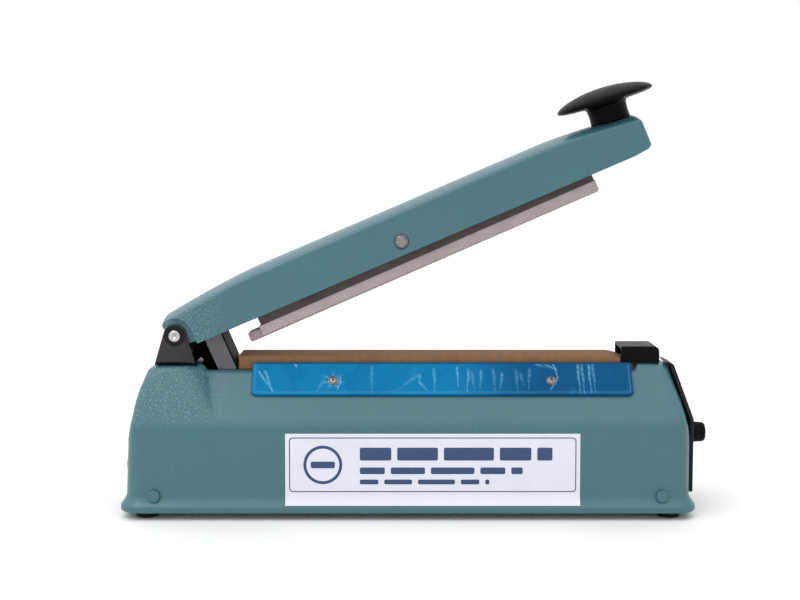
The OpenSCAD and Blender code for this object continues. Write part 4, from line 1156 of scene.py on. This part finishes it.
def make_silicone():
    """Press bar's silicone strip: soft-edged section, standing out past the metal at the rear."""
    front, rear, half, low, high, r = 110.6, -99.4, 7.05, -18.65, -13.35, 1.5
    section = arc(half - r, low + r, r, 0, -90, 5) + arc(-half + r, low + r, r, -90, -180, 5)
    section += arc(-half + 0.5, high - 0.5, 0.5, 180, 90, 3) + arc(half - 0.5, high - 0.5, 0.5, 90, 0, 3)
    middle = (low + high) / 2
    bm = bmesh.new()
    rows = []
    stations = [(rear, 0.80), (rear + 0.25, 0.92), (rear + 0.9, 1.0)]
    stations += [(x, 1.0) for x in steps((rear + 4, 5), front - 2)]
    stations += [(front - 0.9, 1.0), (front - 0.25, 0.92), (front, 0.80)]
    for x, scale in stations:
        sway = min(0, 0.03 * sin(x / 11))
        rows.append([bm.verts.new((x, y * scale, middle + (z - middle) * scale + sway)) for y, z in section])
    grid_faces(bm, rows, close_columns=True)
    bm.faces.new(rows[0])
    bm.faces.new(rows[-1])
    obj = mesh_object("press_rubber", bm, BAR, 50)
    dress(obj, SILICONE, "press_bar")
    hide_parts("silicone_strip")


# ---- stage


def make_stage():
    """A pale flat floor, soft light from all round, a weak key light and the camera."""
    scene = bpy.context.scene
    scene.view_settings.view_transform = "Standard"
    bm = bmesh.new()
    bmesh.ops.create_circle(bm, cap_ends=True, radius=6, segments=64)
    floor = mesh_object("floor", bm)
    p = Paint("floor_pale", (0.80, 0.80, 0.80), 0.6)
    p.tint(p.noise(3, 2), 0.99, 1.01)
    floor.data.materials.append(p.material)

    world = bpy.data.worlds.new("studio")
    world.use_nodes = True
    world.node_tree.nodes["Background"].inputs["Color"].default_value = (1, 1, 1, 1)
    world.node_tree.nodes["Background"].inputs["Strength"].default_value = 1.0
    scene.world = world
    sky = bpy.data.lights.new("sky", "SUN")
    sky.energy, sky.angle = 1.5, radians(110)
    obj = bpy.data.objects.new("sky", sky)
    obj.rotation_euler = (radians(12), radians(-14), 0)
    scene.collection.objects.link(obj)
    key = bpy.data.lights.new("key", "AREA")
    key.shape, key.size, key.size_y, key.energy = "RECTANGLE", 0.6, 0.6, 4
    obj = bpy.data.objects.new("key", key)
    obj.location = (-0.8, -0.9, 1.5)
    obj.rotation_euler = (Vector((0, 0, 0.08)) - obj.location).to_track_quat("-Z", "Y").to_euler()
    scene.collection.objects.link(obj)

    camera = bpy.data.cameras.new("camera")
    camera.lens, camera.sensor_width, camera.clip_start = 58.725, 36, 0.01
    obj = bpy.data.objects.new("camera", camera)
    obj.location = ((-4.3 + SHELL_X) * MM, -0.7275, 0.1937)
    obj.rotation_euler = (radians(90 - 6.12), 0, 0)
    scene.collection.objects.link(obj)
    scene.camera = obj


make_stage()
make_casting()
make_arm()
make_knob()
make_cloth()
make_film(-1, "wrinkled_film_near", "film_near")
make_film(1, "wrinkled_film_far", "film_far")
make_strip_screws()
make_label_print()
make_timer_knob()
make_dial()
make_springs()
make_pin()
make_arm_screw()
make_silicone()

# The CAD nodes that stay, by their material and how far their edges are broken, in mm
KEPT = {
    (BRIGHT_STEEL, 0.1): "base_screws bracket_screws electrode_screws panel_screws strap_screws"
                         " striker_screws handle_screw",
    (BRIGHT_STEEL, 0.2): "timer_shaft pivot_nut pivot_spacers",
    (SHEET_STEEL, 0.2): "base_plate side_strip_near side_strip_far transformer_strap switch_bracket",
    (DARK_STEEL, 0.35): "hinge_bracket",
    (STRIKER_STEEL, 0.3): "striker_bracket",
    (CARRIER_STEEL, 0.3): "press_bar_carrier",
    (ALUMINIUM, 0.3): "press_bar_channel",
    (ALUMINIUM, 0.2): "bar_rivets",
    (BRASS, 0.2): "rear_electrode front_electrode",
    (NICHROME, 0): "heating_element",
    (BLACK_RUBBER, 0.3): "rubber_feet cord_grommet",
    (BLACK_RUBBER, 0.2): "hinge_bushes",
    (COVER_RUBBER, 0.3): "slot_guard",
    (COVER_RUBBER, 0.2): "striker_cover",
    (BLACK_PLASTIC, 0.5): "front_cap",
    (BLACK_PLASTIC, 0.4): "microswitch",
    (BLACK_PLASTIC, 0.3): "board_parts fuse_holder",
    (PANEL_PLASTIC, 0.5): "control_panel",
    (RED_PLASTIC, 0.2): "microswitch_plunger",
    (LENS, 0.1): "pilot_lamp",
    (PHENOLIC, 0.2): "jaw_insulator",
    (PHENOLIC, 0): "element_underlay",
    (BOARD, 0.2): "timer_pot",
    (BOARD, 0.1): "circuit_board",
    (CORE, 0.3): "transformer_core",
    (WINDING, 1.0): "transformer_winding",
    (LABEL, 0): "label",
}
for (material, edge), nodes in KEPT.items():
    for node in nodes.split():
        keep(node, material, edge)
